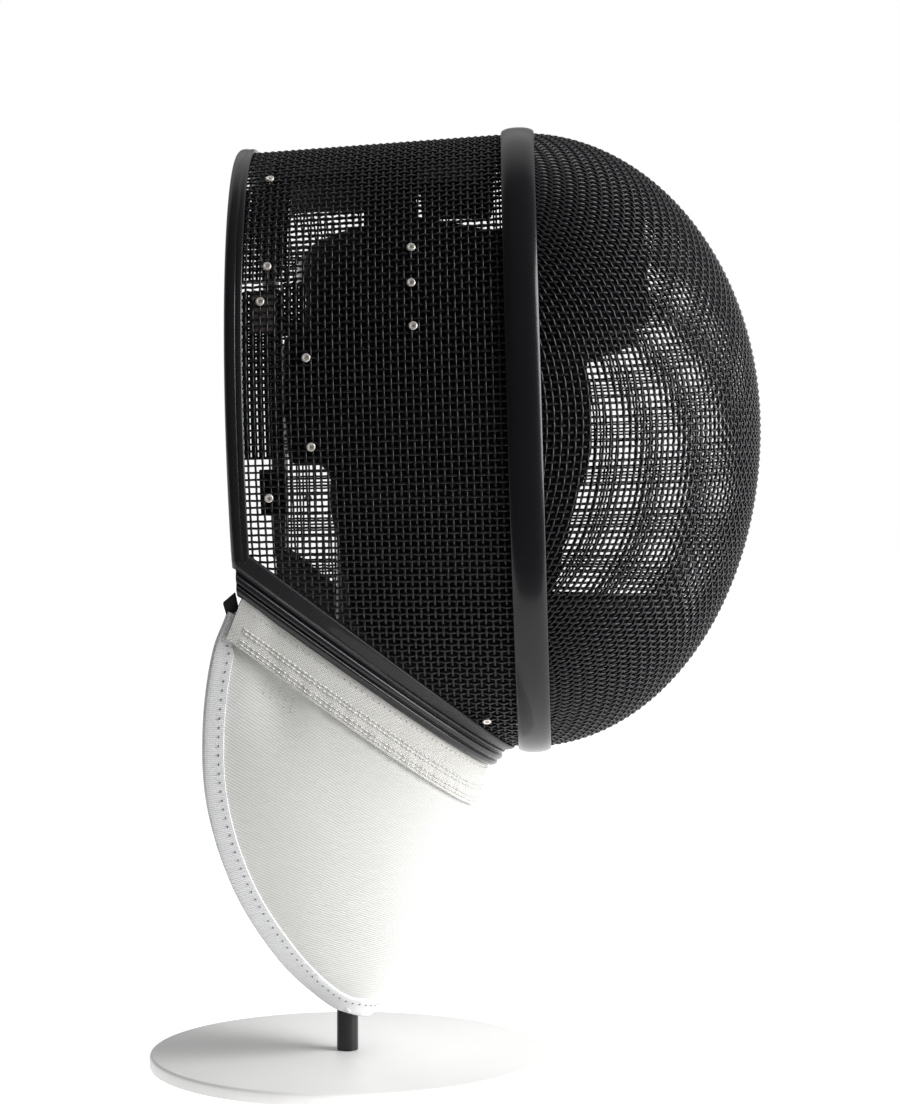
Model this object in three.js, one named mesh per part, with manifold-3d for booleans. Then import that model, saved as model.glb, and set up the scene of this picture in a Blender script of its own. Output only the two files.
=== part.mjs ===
// A fencing mask standing on a plain display stand.
// Millimetres, +Z up, +X out through the face, +Y to the wearer's left.
// The origin is on the underside of the stand's base, on the axis of its pole.

import * as THREE from 'three';
import { mergeVertices } from 'three/addons/utils/BufferGeometryUtils.js';
import Module from 'manifold-3d';

const wasm = await Module();
wasm.setup();

// Mask shell
const halfWidth = 100;
const crownHeight = 135;
const chinDepth = 149;
const domeDepth = 108.5;
const meshWall = 2;
const meshBack = -124;
const taperPerMm = 0.0003;
const maskCentre = new THREE.Vector3(83.1, 0, 297.1);
const maskTilt = THREE.MathUtils.degToRad(-1.676);

// Neck plane that the side mesh is cut along, z = neckLevel + neckSlope * x
const neckLevel = -161.9;
const neckSlope = -0.81;
const neckEndX = -126.5;

// Trims and strip
const stripHalf = 7.5;
const backTrimEndZ = -60;
const fit = 0.3;

// Bib
const bibTopX = -127.5;
const bibDrop = 11.6;
const bibThick = 2;
const bandThick = 1.2;
const bandFoot = 1.5;
const hemWidth = 8.5;
const hemWidthUnderBand = 5;

// Padding inside
const padThick = 6;
const linerRise = 10;
const padClear = 0.8;
const padGap = 0.5;
const earTop = 40;
const earFoot = -16;
const crownPadThick = 4;
const browClear = 2.5;
const browThick = 9;

// Eyelet rivets
const eyeletHole = 0.8;
const eyeletShank = 1.2;
const eyeletRim = 1.9;

// Stand
const baseRadius = 92;
const baseHeight = 6;
const poleRadius = 5;
const capTop = 378.1;
const capRadius = 23;

const standard = (color, roughness, metalness) =>
  new THREE.MeshStandardMaterial({ color, roughness, metalness });
const wireBlack = standard(0x16171a, 0.45, 0.4);
const glossBlack = standard(0x1c1c20, 0.22, 0);
const trimBlack = standard(0x1a1a1d, 0.45, 0);
const padBlack = standard(0x141416, 0.9, 0);
const strapPale = standard(0xb7b0a2, 0.85, 0);
const bibWhite = standard(0xe6e5e1, 0.9, 0);
const eyeletMetal = standard(0xc6c8cc, 0.3, 1);
const baseWhite = standard(0xeceae6, 0.5, 0);
const poleBlack = standard(0x131315, 0.25, 0);

const object = new THREE.Group();
const mask = new THREE.Group();
mask.position.copy(maskCentre);
mask.rotation.y = maskTilt;
object.add(mask);

function place(parent, name, geometry, material) {
  const mesh = new THREE.Mesh(geometry, material);
  mesh.name = name;
  parent.add(mesh);
  return mesh;
}

// Closed shapes from rows of points

function signedVolume(points, faces) {
  let volume = 0;
  for (let i = 0; i < faces.length; i += 3) {
    const [a, b, c] = [points[faces[i]], points[faces[i + 1]], points[faces[i + 2]]];
    volume += a.dot(b.clone().cross(c)) / 6;
  }
  return volume;
}

function geometryOf(points, faces) {
  if (signedVolume(points, faces) < 0) {
    faces = faces.slice().reverse();
  }
  const geometry = new THREE.BufferGeometry();
  const numbers = points.flatMap((point) => point.toArray());
  geometry.setAttribute('position', new THREE.Float32BufferAttribute(numbers, 3));
  geometry.setIndex(faces);
  geometry.computeVertexNormals();
  return geometry;
}

// Skins a row of closed loops. outline is the flat shape of one loop, used to close the two ends.
function loft(loops, outline) {
  const n = loops[0].length;
  const points = loops.flat();
  const faces = [];
  const rings = outline ? loops.length - 1 : loops.length;
  for (let r = 0; r < rings; r++) {
    const here = r * n;
    const next = ((r + 1) % loops.length) * n;
    for (let i = 0; i < n; i++) {
      const j = (i + 1) % n;
      faces.push(here + i, here + j, next + j, here + i, next + j, next + i);
    }
  }
  if (outline) {
    const turned = THREE.ShapeUtils.isClockWise(outline);
    const last = (loops.length - 1) * n;
    for (const [a, b, c] of THREE.ShapeUtils.triangulateShape(outline, [])) {
      if (turned) {
        faces.push(a, b, c, last + a, last + c, last + b);
      } else {
        faces.push(c, b, a, last + c, last + a, last + b);
      }
    }
  }
  return geometryOf(points, faces);
}

const flat = (pairs) => pairs.map(([x, y]) => new THREE.Vector2(x, y));
const steps = (from, to, count) =>
  Array.from({ length: count + 1 }, (_, i) => from + ((to - from) * i) / count);

// A slab between two faces of a surface. at(u, v, side) gives a point, side 0 outside and 1 inside.
function slab(at, us, vs) {
  const last = vs.length - 1;
  const outline = flat([...vs.map((_, i) => [i, 0]), ...vs.map((_, i) => [last - i, 1])]);
  const loops = us.map((u) => [
    ...vs.map((v) => at(u, v, 0)),
    ...vs.map((_, i) => at(u, vs[last - i], 1)),
  ]);
  return loft(loops, outline);
}

// Joins and cuts

function toSolid(geometry) {
  const bare = geometry.clone();
  bare.deleteAttribute('normal');
  bare.deleteAttribute('uv');
  const merged = mergeVertices(bare, 1e-4);
  return new wasm.Manifold(new wasm.Mesh({
    numProp: 3,
    vertProperties: new Float32Array(merged.attributes.position.array),
    triVerts: new Uint32Array(merged.index.array),
  }));
}

function toGeometry(solid) {
  const result = solid.getMesh();
  const geometry = new THREE.BufferGeometry();
  geometry.setAttribute('position', new THREE.BufferAttribute(new Float32Array(result.vertProperties), 3));
  geometry.setIndex(Array.from(result.triVerts));
  geometry.computeVertexNormals();
  return geometry;
}

const cut = (geometry, tools) =>
  toGeometry(tools.reduce((solid, tool) => solid.subtract(toSolid(tool)), toSolid(geometry)));

function block(x0, x1, y0, y1, z0, z1) {
  const box = new THREE.BoxGeometry(x1 - x0, y1 - y0, z1 - z0);
  return box.translate((x0 + x1) / 2, (y0 + y1) / 2, (z0 + z1) / 2);
}

// Everything on the far side of a plane that leans in X and Z: the side that (nx, nz) points to.
function beyond(x, z, nx, nz) {
  const box = new THREE.BoxGeometry(900, 900, 900).translate(450, 0, 0);
  return box.rotateY(-Math.atan2(nz, nx)).translate(x, 0, z);
}

// The mask's section: an egg, taller below. angle is 0 at the crown and PI at the chin.

const tallAt = (angle) => (Math.cos(angle) > 0 ? crownHeight : chinDepth);
const scaleAt = (x) => 1 + taperPerMm * Math.min(x, 0);

function sectionPoint(x, angle, inset) {
  const across = (halfWidth * scaleAt(x) - inset) * Math.sin(angle);
  const up = (tallAt(angle) * scaleAt(x) - inset) * Math.cos(angle);
  return new THREE.Vector3(x, across, up);
}

function sectionNormal(x, angle) {
  const scale = scaleAt(x);
  const y = Math.sin(angle) / (halfWidth * scale);
  const z = Math.cos(angle) / (tallAt(angle) * scale);
  return new THREE.Vector3(0, y, z).normalize();
}

function angleAtHeight(x, z, inset = 0) {
  const tall = (z > 0 ? crownHeight : chinDepth) * scaleAt(x) - inset;
  return Math.acos(z / tall);
}

const wallSlab = (xs, angles, inset, thick) =>
  slab((angle, x, side) => sectionPoint(x, angle, inset + side * thick), angles, xs);

// Eyelets: where each sits on one side, then mirrored

const eyeletPlaces = [
  { x: -110.5, z: 111.4 },
  { x: -109.8, z: 69.9 },
  { x: -112.7, z: 54.3 },
  { x: -92.9, z: 29.2 },
  { x: -91.7, z: -9.0 },
  { x: -110.7, z: -30.3 },
  { x: -47.1, z: 76.2 },
  { x: -47.2, z: 60.4 },
  { x: -46.6, z: 41.5 },
  { x: -21.0, z: -132.5 },
];

const eyelets = [];
for (const [side, sign] of [['right', -1], ['left', 1]]) {
  eyeletPlaces.forEach(({ x, z }, i) => {
    const angle = sign * angleAtHeight(x, z);
    const seat = sectionPoint(x, angle, 0);
    const turn = new THREE.Quaternion();
    turn.setFromUnitVectors(new THREE.Vector3(0, 1, 0), sectionNormal(x, angle));
    eyelets.push({ name: `eyelet_${side}_${i + 1}`, seat, turn });
  });
}

const eyeletProfile = flat([
  [eyeletHole, -2],
  [eyeletShank, -2],
  [eyeletShank, 0.4],
  [eyeletRim, 0.4],
  [eyeletHole + 0.25, 1.2],
  [eyeletHole, -2],
]);

// Woven mesh: the face dome and the side mesh that wraps back round the head

function faceMesh() {
  const lifts = steps(Math.asin(0.5 / domeDepth), Math.PI / 2, 9);
  const profile = [];
  for (const lift of lifts) {
    profile.push({ lift, inset: 0 });
  }
  for (const lift of lifts.slice().reverse()) {
    profile.push({ lift, inset: meshWall });
  }
  const loops = steps(0, 2 * Math.PI, 36).slice(0, -1).map((angle) => profile.map(({ lift, inset }) => {
    const across = (halfWidth - inset) * Math.cos(lift) * Math.sin(angle);
    const up = (tallAt(angle) - inset) * Math.cos(lift) * Math.cos(angle);
    return new THREE.Vector3((domeDepth - inset) * Math.sin(lift), across, up);
  }));
  const skin = mergeVertices(loft(loops).deleteAttribute('normal'), 1e-3);
  const index = skin.index.array;
  const kept = [];
  for (let i = 0; i < index.length; i += 3) {
    const [a, b, c] = [index[i], index[i + 1], index[i + 2]];
    if (a !== b && b !== c && c !== a) {
      kept.push(a, b, c);
    }
  }
  skin.setIndex(kept);
  skin.computeVertexNormals();
  return skin;
}

// The tube that the side mesh is cut from, grown all round by a clearance
function sideTube(clear) {
  const [back, front, inner] = [meshBack - clear, -0.5 + clear, meshWall + clear];
  const profile = [[back, -clear], [front, -clear], [front, inner], [back, inner]];
  const loops = steps(0, 2 * Math.PI, 48).slice(0, -1).map((angle) =>
    profile.map(([x, inset]) => sectionPoint(x, angle, inset)));
  return cut(loft(loops), [beyond(0, neckLevel - 3 * clear, neckSlope, -1)]);
}

function sideMesh() {
  const holes = eyelets.map(({ seat, turn }) =>
    new THREE.CylinderGeometry(eyeletShank + fit, eyeletShank + fit, 8, 6).applyQuaternion(turn)
      .translate(seat.x, seat.y, seat.z));
  return cut(sideTube(0), holes);
}

place(mask, 'face_mesh', faceMesh(), wireBlack);
place(mask, 'side_mesh', sideMesh(), wireBlack);

for (const { name, seat, turn } of eyelets) {
  const eyelet = place(mask, name, new THREE.LatheGeometry(eyeletProfile, 6), eyeletMetal);
  eyelet.position.copy(seat);
  eyelet.quaternion.copy(turn);
}

// Glossy strip over the joint of the two meshes

function centreStrip() {
  const profile = [
    [-stripHalf, 0.35], [-stripHalf, 0.9], [-5.3, 2.0], [-2.2, 2.5],
    [2.2, 2.5], [5.3, 2.0], [stripHalf, 0.9], [stripHalf, 0.35],
  ];
  const loops = steps(0, 2 * Math.PI, 42).slice(0, -1).map((angle) => profile.map(([x, out]) => {
    const point = sectionPoint(0, angle, -out);
    point.x = x;
    return point;
  }));
  return loft(loops);
}

place(mask, 'centre_strip', centreStrip(), glossBlack);

// Binding folded over the back edge

function backTrim() {
  const profile = [
    [-120.5, 0.3], [-120.5, 1.2], [-123, 1.8], [-126.7, 1.8], [-128.5, 0.4], [-128.5, -2.4],
    [-126.7, -3.8], [-121.5, -3.5], [-121.5, -2.3], [meshBack - 0.4, -2.3], [meshBack - 0.4, 0.3],
  ];
  const end = angleAtHeight(meshBack, backTrimEndZ);
  const loops = steps(-end, end, 28).map((angle) =>
    profile.map(([x, out]) => sectionPoint(x, angle, -out)));
  return loft(loops, flat(profile));
}

place(mask, 'back_trim', backTrim(), trimBlack);

// Rubber neck trim along the slanting lower edge of the side mesh

const neckDown = new THREE.Vector3(neckSlope, 0, -1).normalize();

function neckPoint(angle, inset = meshWall / 2) {
  const rise = tallAt(angle) * Math.cos(angle);
  const x = (neckLevel - rise) / (rise * taperPerMm - neckSlope);
  return sectionPoint(x, angle, inset);
}

// The edge and its directions: along the edge, out of the wall, up in the wall, out in the neck plane
function neckFrame(angle) {
  const point = neckPoint(angle);
  const along = neckPoint(angle + 1e-3).sub(neckPoint(angle - 1e-3)).normalize();
  const out = sectionNormal(point.x, angle);
  const up = out.clone().cross(along).normalize();
  const level = along.clone().cross(neckDown).normalize();
  if (up.dot(neckDown) > 0) {
    up.negate();
  }
  if (level.dot(out) < 0) {
    level.negate();
  }
  return { point, out, up, level };
}

const neckAngle = (x) => Math.acos((neckLevel + neckSlope * x) / (chinDepth * scaleAt(x)));
const neckEnd = neckAngle(neckEndX);

function neckTrim() {
  const lip = [[7.5, 0], [7.5, 2.5], [1.5, 3.0]];
  const body = [
    [0.5, 4.4], [2.4, 4.4], [3.1, 3.3], [3.8, 3.3], [4.5, 4.8],
    [8.4, 4.6], [10.4, 2.4], [10.4, -0.8], [8.4, -2.8], [0, -3.5],
  ];
  const inside = [[4.5, -2.9], [4.5, 0]];
  const outline = flat([
    ...lip.map(([a, b]) => [b, a]),
    ...body.map(([a, b]) => [b, -a]),
    ...inside.map(([a, b]) => [b - 0.01, a]),
  ]);
  const loops = steps(neckEnd - 0.06, 2 * Math.PI - neckEnd + 0.06, 28).map((angle) => {
    const { point, out, up, level } = neckFrame(angle);
    const wall = ([a, b]) => point.clone().addScaledVector(up, a).addScaledVector(out, b);
    const hang = ([a, b]) => point.clone().addScaledVector(neckDown, a).addScaledVector(level, b);
    return [...lip.map(wall), ...body.map(hang), ...inside.map(wall)];
  });
  return cut(loft(loops, outline), [
    sideTube(0.35),
    block(-200, neckEndX, -200, 200, -300, 100),
    block(-200, -119.8, -200, 200, backTrimEndZ - 1, 100),
    block(-stripHalf - 0.5, 50, -200, 200, -300, 100),
  ]);
}

place(mask, 'neck_trim', neckTrim(), trimBlack);

// Bib: a cloth scoop. Each level is part of an ellipse from its front point back to the hem on each side.

const bibRows = [
  { frontX: -24.5, frontZ: -156, hemX: -127.5, hemZ: -73.5, half: 84.3 },
  { frontX: -28.5, frontZ: -168, hemX: -131.7, hemZ: -83, half: 83.6 },
  { frontX: -33, frontZ: -181, hemX: -137, hemZ: -95, half: 82.5 },
  { frontX: -41, frontZ: -200, hemX: -143, hemZ: -127, half: 79 },
  { frontX: -51, frontZ: -220, hemX: -143.5, hemZ: -164, half: 72 },
  { frontX: -61.5, frontZ: -240, hemX: -134, hemZ: -204, half: 59.5 },
  { frontX: -72, frontZ: -257, hemX: -116, hemZ: -239, half: 42 },
  { frontX: -81.5, frontZ: -271, hemX: -97, hemZ: -263, half: 20 },
];
const bibLast = bibRows.length - 1;
const bibEnd = neckAngle(bibTopX - bibDrop * neckDown.x);
const frontLine = new THREE.CatmullRomCurve3(
  bibRows.map(({ frontX, frontZ }) => new THREE.Vector3(frontX, 0, frontZ)));
const hemLine = new THREE.CatmullRomCurve3(
  bibRows.map(({ hemX, hemZ, half }) => new THREE.Vector3(hemX, half, hemZ)));

function bibLevel(row, angle) {
  const front = frontLine.getPoint(row / bibLast);
  const hem = hemLine.getPoint(row / bibLast);
  const back = (1 + Math.cos(angle)) / (1 + Math.cos(bibEnd));
  const point = front.clone().lerp(new THREE.Vector3(hem.x, 0, hem.z), back);
  point.y = (hem.y * Math.sin(angle)) / Math.sin(bibEnd);
  return point;
}

// The top edge follows the neck trim and eases into the levels below it.
function bibPoint(row, angle) {
  const point = bibLevel(row, angle);
  if (row < 2) {
    const { point: edge, level } = neckFrame(angle);
    edge.addScaledVector(neckDown, bibDrop).addScaledVector(level, -0.4);
    const ease = (1 - row / 2) ** 2 * (1 + row);
    point.addScaledVector(edge.sub(bibLevel(0, angle)), ease);
  }
  return point;
}

function bibFrame(row, angle) {
  const d = 1e-3;
  const r0 = Math.max(row - d, 0);
  const r1 = Math.min(row + d, bibLast);
  const down = bibPoint(r1, angle).sub(bibPoint(r0, angle)).divideScalar(r1 - r0);
  const round = bibPoint(row, angle + d).sub(bibPoint(row, angle - d)).divideScalar(2 * d);
  const out = down.clone().cross(round).normalize();
  if (out.x * 0.5 - out.z * 0.2 + out.y * Math.sin(angle) < 0) {
    out.negate();
  }
  return { point: bibPoint(row, angle), down, round, out };
}

function bibOffset(row, angle, lift) {
  const { point, out } = bibFrame(row, angle);
  return point.addScaledVector(out, lift);
}

// Steps sideways from a point of the bib by a distance, staying on its surface
function bibInward(row, angle, tangent, distance, turnTo) {
  const { down, round, out } = bibFrame(row, angle);
  const inward = out.clone().cross(tangent).normalize();
  if (inward.dot(turnTo) < 0) {
    inward.negate();
  }
  const [e, f, g] = [down.dot(down), down.dot(round), round.dot(round)];
  const [p, q] = [inward.dot(down), inward.dot(round)];
  const det = e * g - f * f;
  return {
    row: row + (distance * (g * p - f * q)) / det,
    angle: angle + (distance * (e * q - f * p)) / det,
  };
}

// Folded top band of the bib, ending short of the hem on each side

function bibBand() {
  const margin = 0.032;
  const angles = steps(bibEnd + margin, 2 * Math.PI - bibEnd - margin, 24);
  const rows = [0.05, 0.8, bandFoot];
  const lift = bibThick / 2 + 0.4;
  return slab((angle, row, side) => bibOffset(row, angle, lift + (1 - side) * bandThick), angles, rows);
}

place(mask, 'bib_band', bibBand(), bibWhite);

// Binding along the bib's edge. Each stop has a row, an angle and a width, and may slip along the edge.

function edgeBinding(stops, profile) {
  const centre = bibPoint(2, Math.PI);
  const loops = stops.map(({ row, angle, width, slip = 0 }, i) => {
    const before = stops[Math.max(i - 1, 0)];
    const after = stops[Math.min(i + 1, stops.length - 1)];
    const tangent = bibPoint(after.row, after.angle).sub(bibPoint(before.row, before.angle)).normalize();
    const edge = bibFrame(row, angle);
    const to = bibInward(row, angle, tangent, width, centre.clone().sub(edge.point));
    const inner = bibFrame(Math.min(Math.max(to.row, 0), bibLast), to.angle);
    const inward = inner.point.clone().sub(edge.point).normalize();
    return profile.map(([depth, lift]) => {
      const { point, out } = depth > 0 ? inner : edge;
      return point.clone().addScaledVector(inward, depth).addScaledVector(out, lift)
        .addScaledVector(tangent, slip);
    });
  });
  return loft(loops, flat(profile.map(([depth, lift]) => [depth > 0 ? 9 : depth, lift])));
}

const bindingProfile = [[1e-3, 2.2], [0, 2.2], [-1.2, 1.1], [-1.2, -1.1], [0, -2.2], [1e-3, -2.2]];
const bindingRoom = [[0.5, 5], [-4, 5], [-4, -5], [0.5, -5]];
const otherSide = (angle) => 2 * Math.PI - angle;
const sideStops = (rows, angle) =>
  rows.map((row) => ({ row, angle, width: row < 1.8 ? hemWidthUnderBand : hemWidth }));
const footStops = steps(bibEnd + 0.12, otherSide(bibEnd + 0.12), 10)
  .map((angle) => ({ row: bibLast, angle, width: hemWidth }));
const aroundHem = (rows) =>
  [...sideStops(rows, bibEnd), ...footStops, ...sideStops(rows, otherSide(bibEnd)).reverse()];
const hemRows = [0.63, 1.1, 1.5, 1.72, 1.9, 2.4, 3.2, 4, 4.6, 5.2, 5.8, 6.4, 6.8];
place(mask, 'bib_hem', edgeBinding(aroundHem(hemRows), bindingProfile), bibWhite);

// Black strap end folded over the bib's top corner
for (const [side, angle] of [['right', otherSide(bibEnd)], ['left', bibEnd]]) {
  const stops = sideStops(steps(0.13, 0.58, 3), angle);
  place(mask, `corner_tab_${side}`, edgeBinding(stops, bindingProfile), trimBlack);
}

// Panel of the bib, held between the trim and the bindings
function bibPanel() {
  const angles = steps(bibEnd, otherSide(bibEnd), 24);
  const rows = [0, 1, 2, 3, 4, 5, 6, 6.6, 7];
  const cloth = slab((angle, row, side) => bibOffset(row, angle, (0.5 - side) * bibThick), angles, rows);
  const edge = aroundHem([0, 0.3, ...hemRows]);
  edge[0].slip = -4;
  edge[edge.length - 1].slip = 4;
  return cut(cloth, [edgeBinding(edge, bindingRoom)]);
}

place(mask, 'bib_panel', bibPanel(), bibWhite);

// Padded liner: an arch over the crown with side walls, open below and behind, and an ear behind each wall

function linerTop(x) {
  return x < -12 ? 97.4 - 0.005 * (x + 51) ** 2 : 89.8;
}

function linerPoint(x, angle, inset) {
  const scale = x < 0 ? scaleAt(x) : Math.sqrt(1 - (x / (domeDepth - meshWall)) ** 2);
  const clear = meshWall + padClear + (x > 0 ? 1 : 0) + inset;
  const across = halfWidth * scale - clear;
  const up = Math.cos(angle) > 0 ? linerTop(x) - inset : chinDepth * scale - clear;
  return new THREE.Vector3(x, across * Math.sin(angle), up * Math.cos(angle));
}

const linerStations = [-104, -82, -60, -38, -12, 10, 34];
const linerFront = (extra) => [beyond(28.4 + extra, 0, 1, 0), beyond(28.5 + extra, -14, 1, -0.29)];

function linerBack() {
  const behind = toSolid(beyond(-97, 72, -1, -0.11));
  return toGeometry(behind.subtract(toSolid(block(-200, 0, -150, 150, earFoot, earTop))));
}

function liner() {
  const profile = [
    ...linerStations.map((x) => [x, 0]),
    ...linerStations.slice().reverse().map((x) => [x, padThick]),
  ];
  const loops = steps(0, 2 * Math.PI, 28).slice(0, -1).map((angle) =>
    profile.map(([x, inset]) => linerPoint(x, angle, inset)));
  return cut(loft(loops), [
    beyond(0, neckLevel + linerRise, neckSlope, -1),
    linerBack(),
    ...linerFront(0),
  ]);
}

function linerCore(extra) {
  const loops = linerStations.map((x) =>
    steps(0, 2 * Math.PI, 36).slice(0, -1).map((angle) => linerPoint(x, angle, -extra)));
  const outline = steps(0, 2 * Math.PI, 36).slice(0, -1)
    .map((angle) => new THREE.Vector2(Math.cos(angle), Math.sin(angle)));
  return cut(loft(loops, outline), linerFront(extra));
}

place(mask, 'liner', liner(), padBlack);

// Brow and chin pads lining the dome

function domeBall(inset) {
  const ball = mergeVertices(new THREE.SphereGeometry(1, 32, 20)
    .deleteAttribute('normal').deleteAttribute('uv'), 1e-4);
  const position = ball.attributes.position;
  for (let i = 0; i < position.count; i++) {
    const up = position.getZ(i) > 0 ? crownHeight : chinDepth;
    position.setXYZ(i, position.getX(i) * (domeDepth - inset), position.getY(i) * (halfWidth - inset),
      position.getZ(i) * (up - inset));
  }
  return ball;
}

function domePad(x0, x1, z0, z1) {
  const clear = meshWall + browClear;
  const shell = toSolid(domeBall(clear)).subtract(toSolid(domeBall(clear + browThick)));
  const piece = shell.intersect(toSolid(block(x0, x1, -150, 150, z0, z1)));
  return toGeometry(piece.subtract(toSolid(linerCore(padGap))));
}

place(mask, 'brow_pad', cut(domePad(2, 55, 20, 200), [beyond(27, 31.7, 0.3, -1)]), padBlack);
place(mask, 'chin_pad', domePad(2, 70, -200, -81), padBlack);

// Straps: one hoop inside the crown with a pad before and behind it, two short tabs on the right

const hoopEnd = THREE.MathUtils.degToRad(70);
place(mask, 'crown_strap', wallSlab([-68, -50], steps(-hoopEnd, hoopEnd, 24), 2.4, 1.8), trimBlack);
const crownPads = [
  { name: 'crown_pad_back', xs: [-111, -68.4], reach: 32.5 },
  { name: 'crown_pad_front', xs: [-49.6, -12], reach: 37.5 },
];
for (const { name, xs, reach } of crownPads) {
  const end = THREE.MathUtils.degToRad(reach);
  place(mask, name, wallSlab(xs, steps(-end, end, 12), 2.4, crownPadThick), padBlack);
}

const tabs = [
  { name: 'low_tab_right', x0: -114.7, x1: -103, z0: -38.5, z1: -18.5, material: padBlack },
  { name: 'high_tab_right', x0: -117, x1: -106, z0: 42, z1: 60, material: strapPale },
];
for (const { name, x0, x1, z0, z1, material } of tabs) {
  const angles = steps(-angleAtHeight(-110, z1), -angleAtHeight(-110, z0), 3);
  place(mask, name, wallSlab([x0, x1], angles, 2.5, 1.5), material);
}

// Stand: a round base, a pole and a rounded cap that carries the crown of the liner

const ring = (pairs, sides) => new THREE.LatheGeometry(flat(pairs), sides).rotateX(Math.PI / 2);

place(object, 'stand_base', ring([
  [0, 0], [baseRadius, 0], [baseRadius, baseHeight - 1.5], [baseRadius - 1.5, baseHeight], [0, baseHeight],
], 48), baseWhite);

const capFoot = capTop - 20;
place(object, 'stand_pole', ring([
  [0, baseHeight + fit], [poleRadius, baseHeight + fit], [poleRadius, capFoot - fit], [0, capFoot - fit],
], 20), poleBlack);

const capArc = steps(0.8, 0, 4).map((a) => [32 * Math.sin(a), capTop - 32 * (1 - Math.cos(a))]);
place(object, 'stand_cap', ring([
  [0, capFoot], [7.5, capFoot], [9, capFoot + 4], [capRadius, capTop - 11], ...capArc,
], 20), poleBlack);

export default object;
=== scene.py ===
import math

import bmesh
import bpy
import numpy as np
from mathutils import Matrix, Vector


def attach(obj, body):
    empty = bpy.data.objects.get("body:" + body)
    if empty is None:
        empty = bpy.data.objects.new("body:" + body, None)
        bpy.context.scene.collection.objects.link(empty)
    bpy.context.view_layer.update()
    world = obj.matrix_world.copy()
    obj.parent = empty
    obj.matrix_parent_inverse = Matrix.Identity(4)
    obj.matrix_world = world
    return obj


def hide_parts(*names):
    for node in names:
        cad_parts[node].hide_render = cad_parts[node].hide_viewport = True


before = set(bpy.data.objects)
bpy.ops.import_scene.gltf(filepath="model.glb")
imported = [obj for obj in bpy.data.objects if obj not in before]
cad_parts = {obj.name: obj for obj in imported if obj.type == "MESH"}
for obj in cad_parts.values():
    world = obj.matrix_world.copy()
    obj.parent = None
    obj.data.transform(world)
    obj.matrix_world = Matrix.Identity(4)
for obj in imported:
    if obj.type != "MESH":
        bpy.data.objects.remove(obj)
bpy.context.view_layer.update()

bpy.ops.object.select_all(action="DESELECT")

# The mask in its own frame, in mm: x out through the face, y to the wearer's left, z up.
# Its section is an egg, taller below; an angle is 0 at the crown and pi at the chin.
maskForm = {"halfWidth": 100.0, "crown": 135.0, "chin": 149.0, "dome": 108.5, "taper": 0.0003,
            "back": -124.0, "neckLevel": -161.9, "neckSlope": -0.81,
            "seat": (83.1, 297.1), "tilt": math.radians(1.676)}


def toPart(points):
    points = np.asarray(points, float)
    c, s = math.cos(maskForm["tilt"]), math.sin(maskForm["tilt"])
    x, y, z = points[..., 0], points[..., 1], points[..., 2]
    seatX, seatZ = maskForm["seat"]
    return np.stack([seatX + c * x - s * z, y, seatZ + s * x + c * z], -1) / 1000


def turnToPart(directions):
    c, s = math.cos(maskForm["tilt"]), math.sin(maskForm["tilt"])
    d = np.asarray(directions, float)
    return np.stack([c * d[..., 0] - s * d[..., 2], d[..., 1], s * d[..., 0] + c * d[..., 2]], -1)


def unit(vectors):
    return vectors / np.maximum(np.linalg.norm(vectors, axis=-1, keepdims=True), 1e-12)


def spread(*values):
    return np.broadcast_arrays(*(np.asarray(value, float) for value in values))


def tallAt(angle):
    return np.where(np.cos(angle) > 0, maskForm["crown"], maskForm["chin"])


def scaleAt(x):
    return 1 + maskForm["taper"] * np.minimum(x, 0)


def sectionPoint(x, angle, out=0.0):
    x, angle, out = spread(x, angle, out)
    scale = scaleAt(x)
    y = (maskForm["halfWidth"] * scale + out) * np.sin(angle)
    z = (tallAt(angle) * scale + out) * np.cos(angle)
    return np.stack([x, y, z], -1)


def sectionNormal(x, angle):
    x, angle = spread(x, angle)
    scale = scaleAt(x)
    y = np.sin(angle) / (maskForm["halfWidth"] * scale)
    z = np.cos(angle) / (tallAt(angle) * scale)
    return unit(np.stack([np.zeros_like(y), y, z], -1))


def angleAtHeight(x, z):
    tall = maskForm["crown"] if z > 0 else maskForm["chin"]
    return math.acos(z / (tall * float(scaleAt(x))))


smallStep = 1e-3  # for slopes, in rows or radians
neckDown = np.array([maskForm["neckSlope"], 0.0, -1.0])
neckDown = neckDown / np.linalg.norm(neckDown)


def neckPoint(angle, inset=1.0):
    rise = tallAt(angle) * np.cos(angle)
    x = (maskForm["neckLevel"] - rise) / (rise * maskForm["taper"] - maskForm["neckSlope"])
    return sectionPoint(x, angle, -inset)


def neckFrame(angle):
    angle = np.asarray(angle, float)
    point = neckPoint(angle)
    along = unit(neckPoint(angle + smallStep) - neckPoint(angle - smallStep))
    out = sectionNormal(point[..., 0], angle)
    up = unit(np.cross(out, along))
    up = np.where((up @ neckDown)[..., None] > 0, -up, up)
    level = unit(np.cross(along, np.broadcast_to(neckDown, along.shape)))
    level = np.where((level * out).sum(-1)[..., None] < 0, -level, level)
    return point, out, up, level


def neckAngle(x):
    drop = maskForm["neckLevel"] + maskForm["neckSlope"] * x
    return math.acos(drop / (maskForm["chin"] * float(scaleAt(x))))


# Mesh building

def runLength(points, closed=False):
    ends = np.concatenate([points, points[:1]]) if closed else points
    return np.concatenate([[0.0], np.cumsum(np.linalg.norm(np.diff(ends, axis=0), axis=1))])


def newPiece(name, points, faces, uv=None):
    mesh = bpy.data.meshes.new(name)
    mesh.from_pydata(np.asarray(points).tolist(), [], [tuple(int(i) for i in face) for face in faces])
    if uv is not None:
        mesh.uv_layers.new(name="cloth").data.foreach_set("uv", np.asarray(uv, float).ravel())
    mesh.update()
    piece = bpy.data.objects.new(name, mesh)
    bpy.context.collection.objects.link(piece)
    return piece


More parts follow.
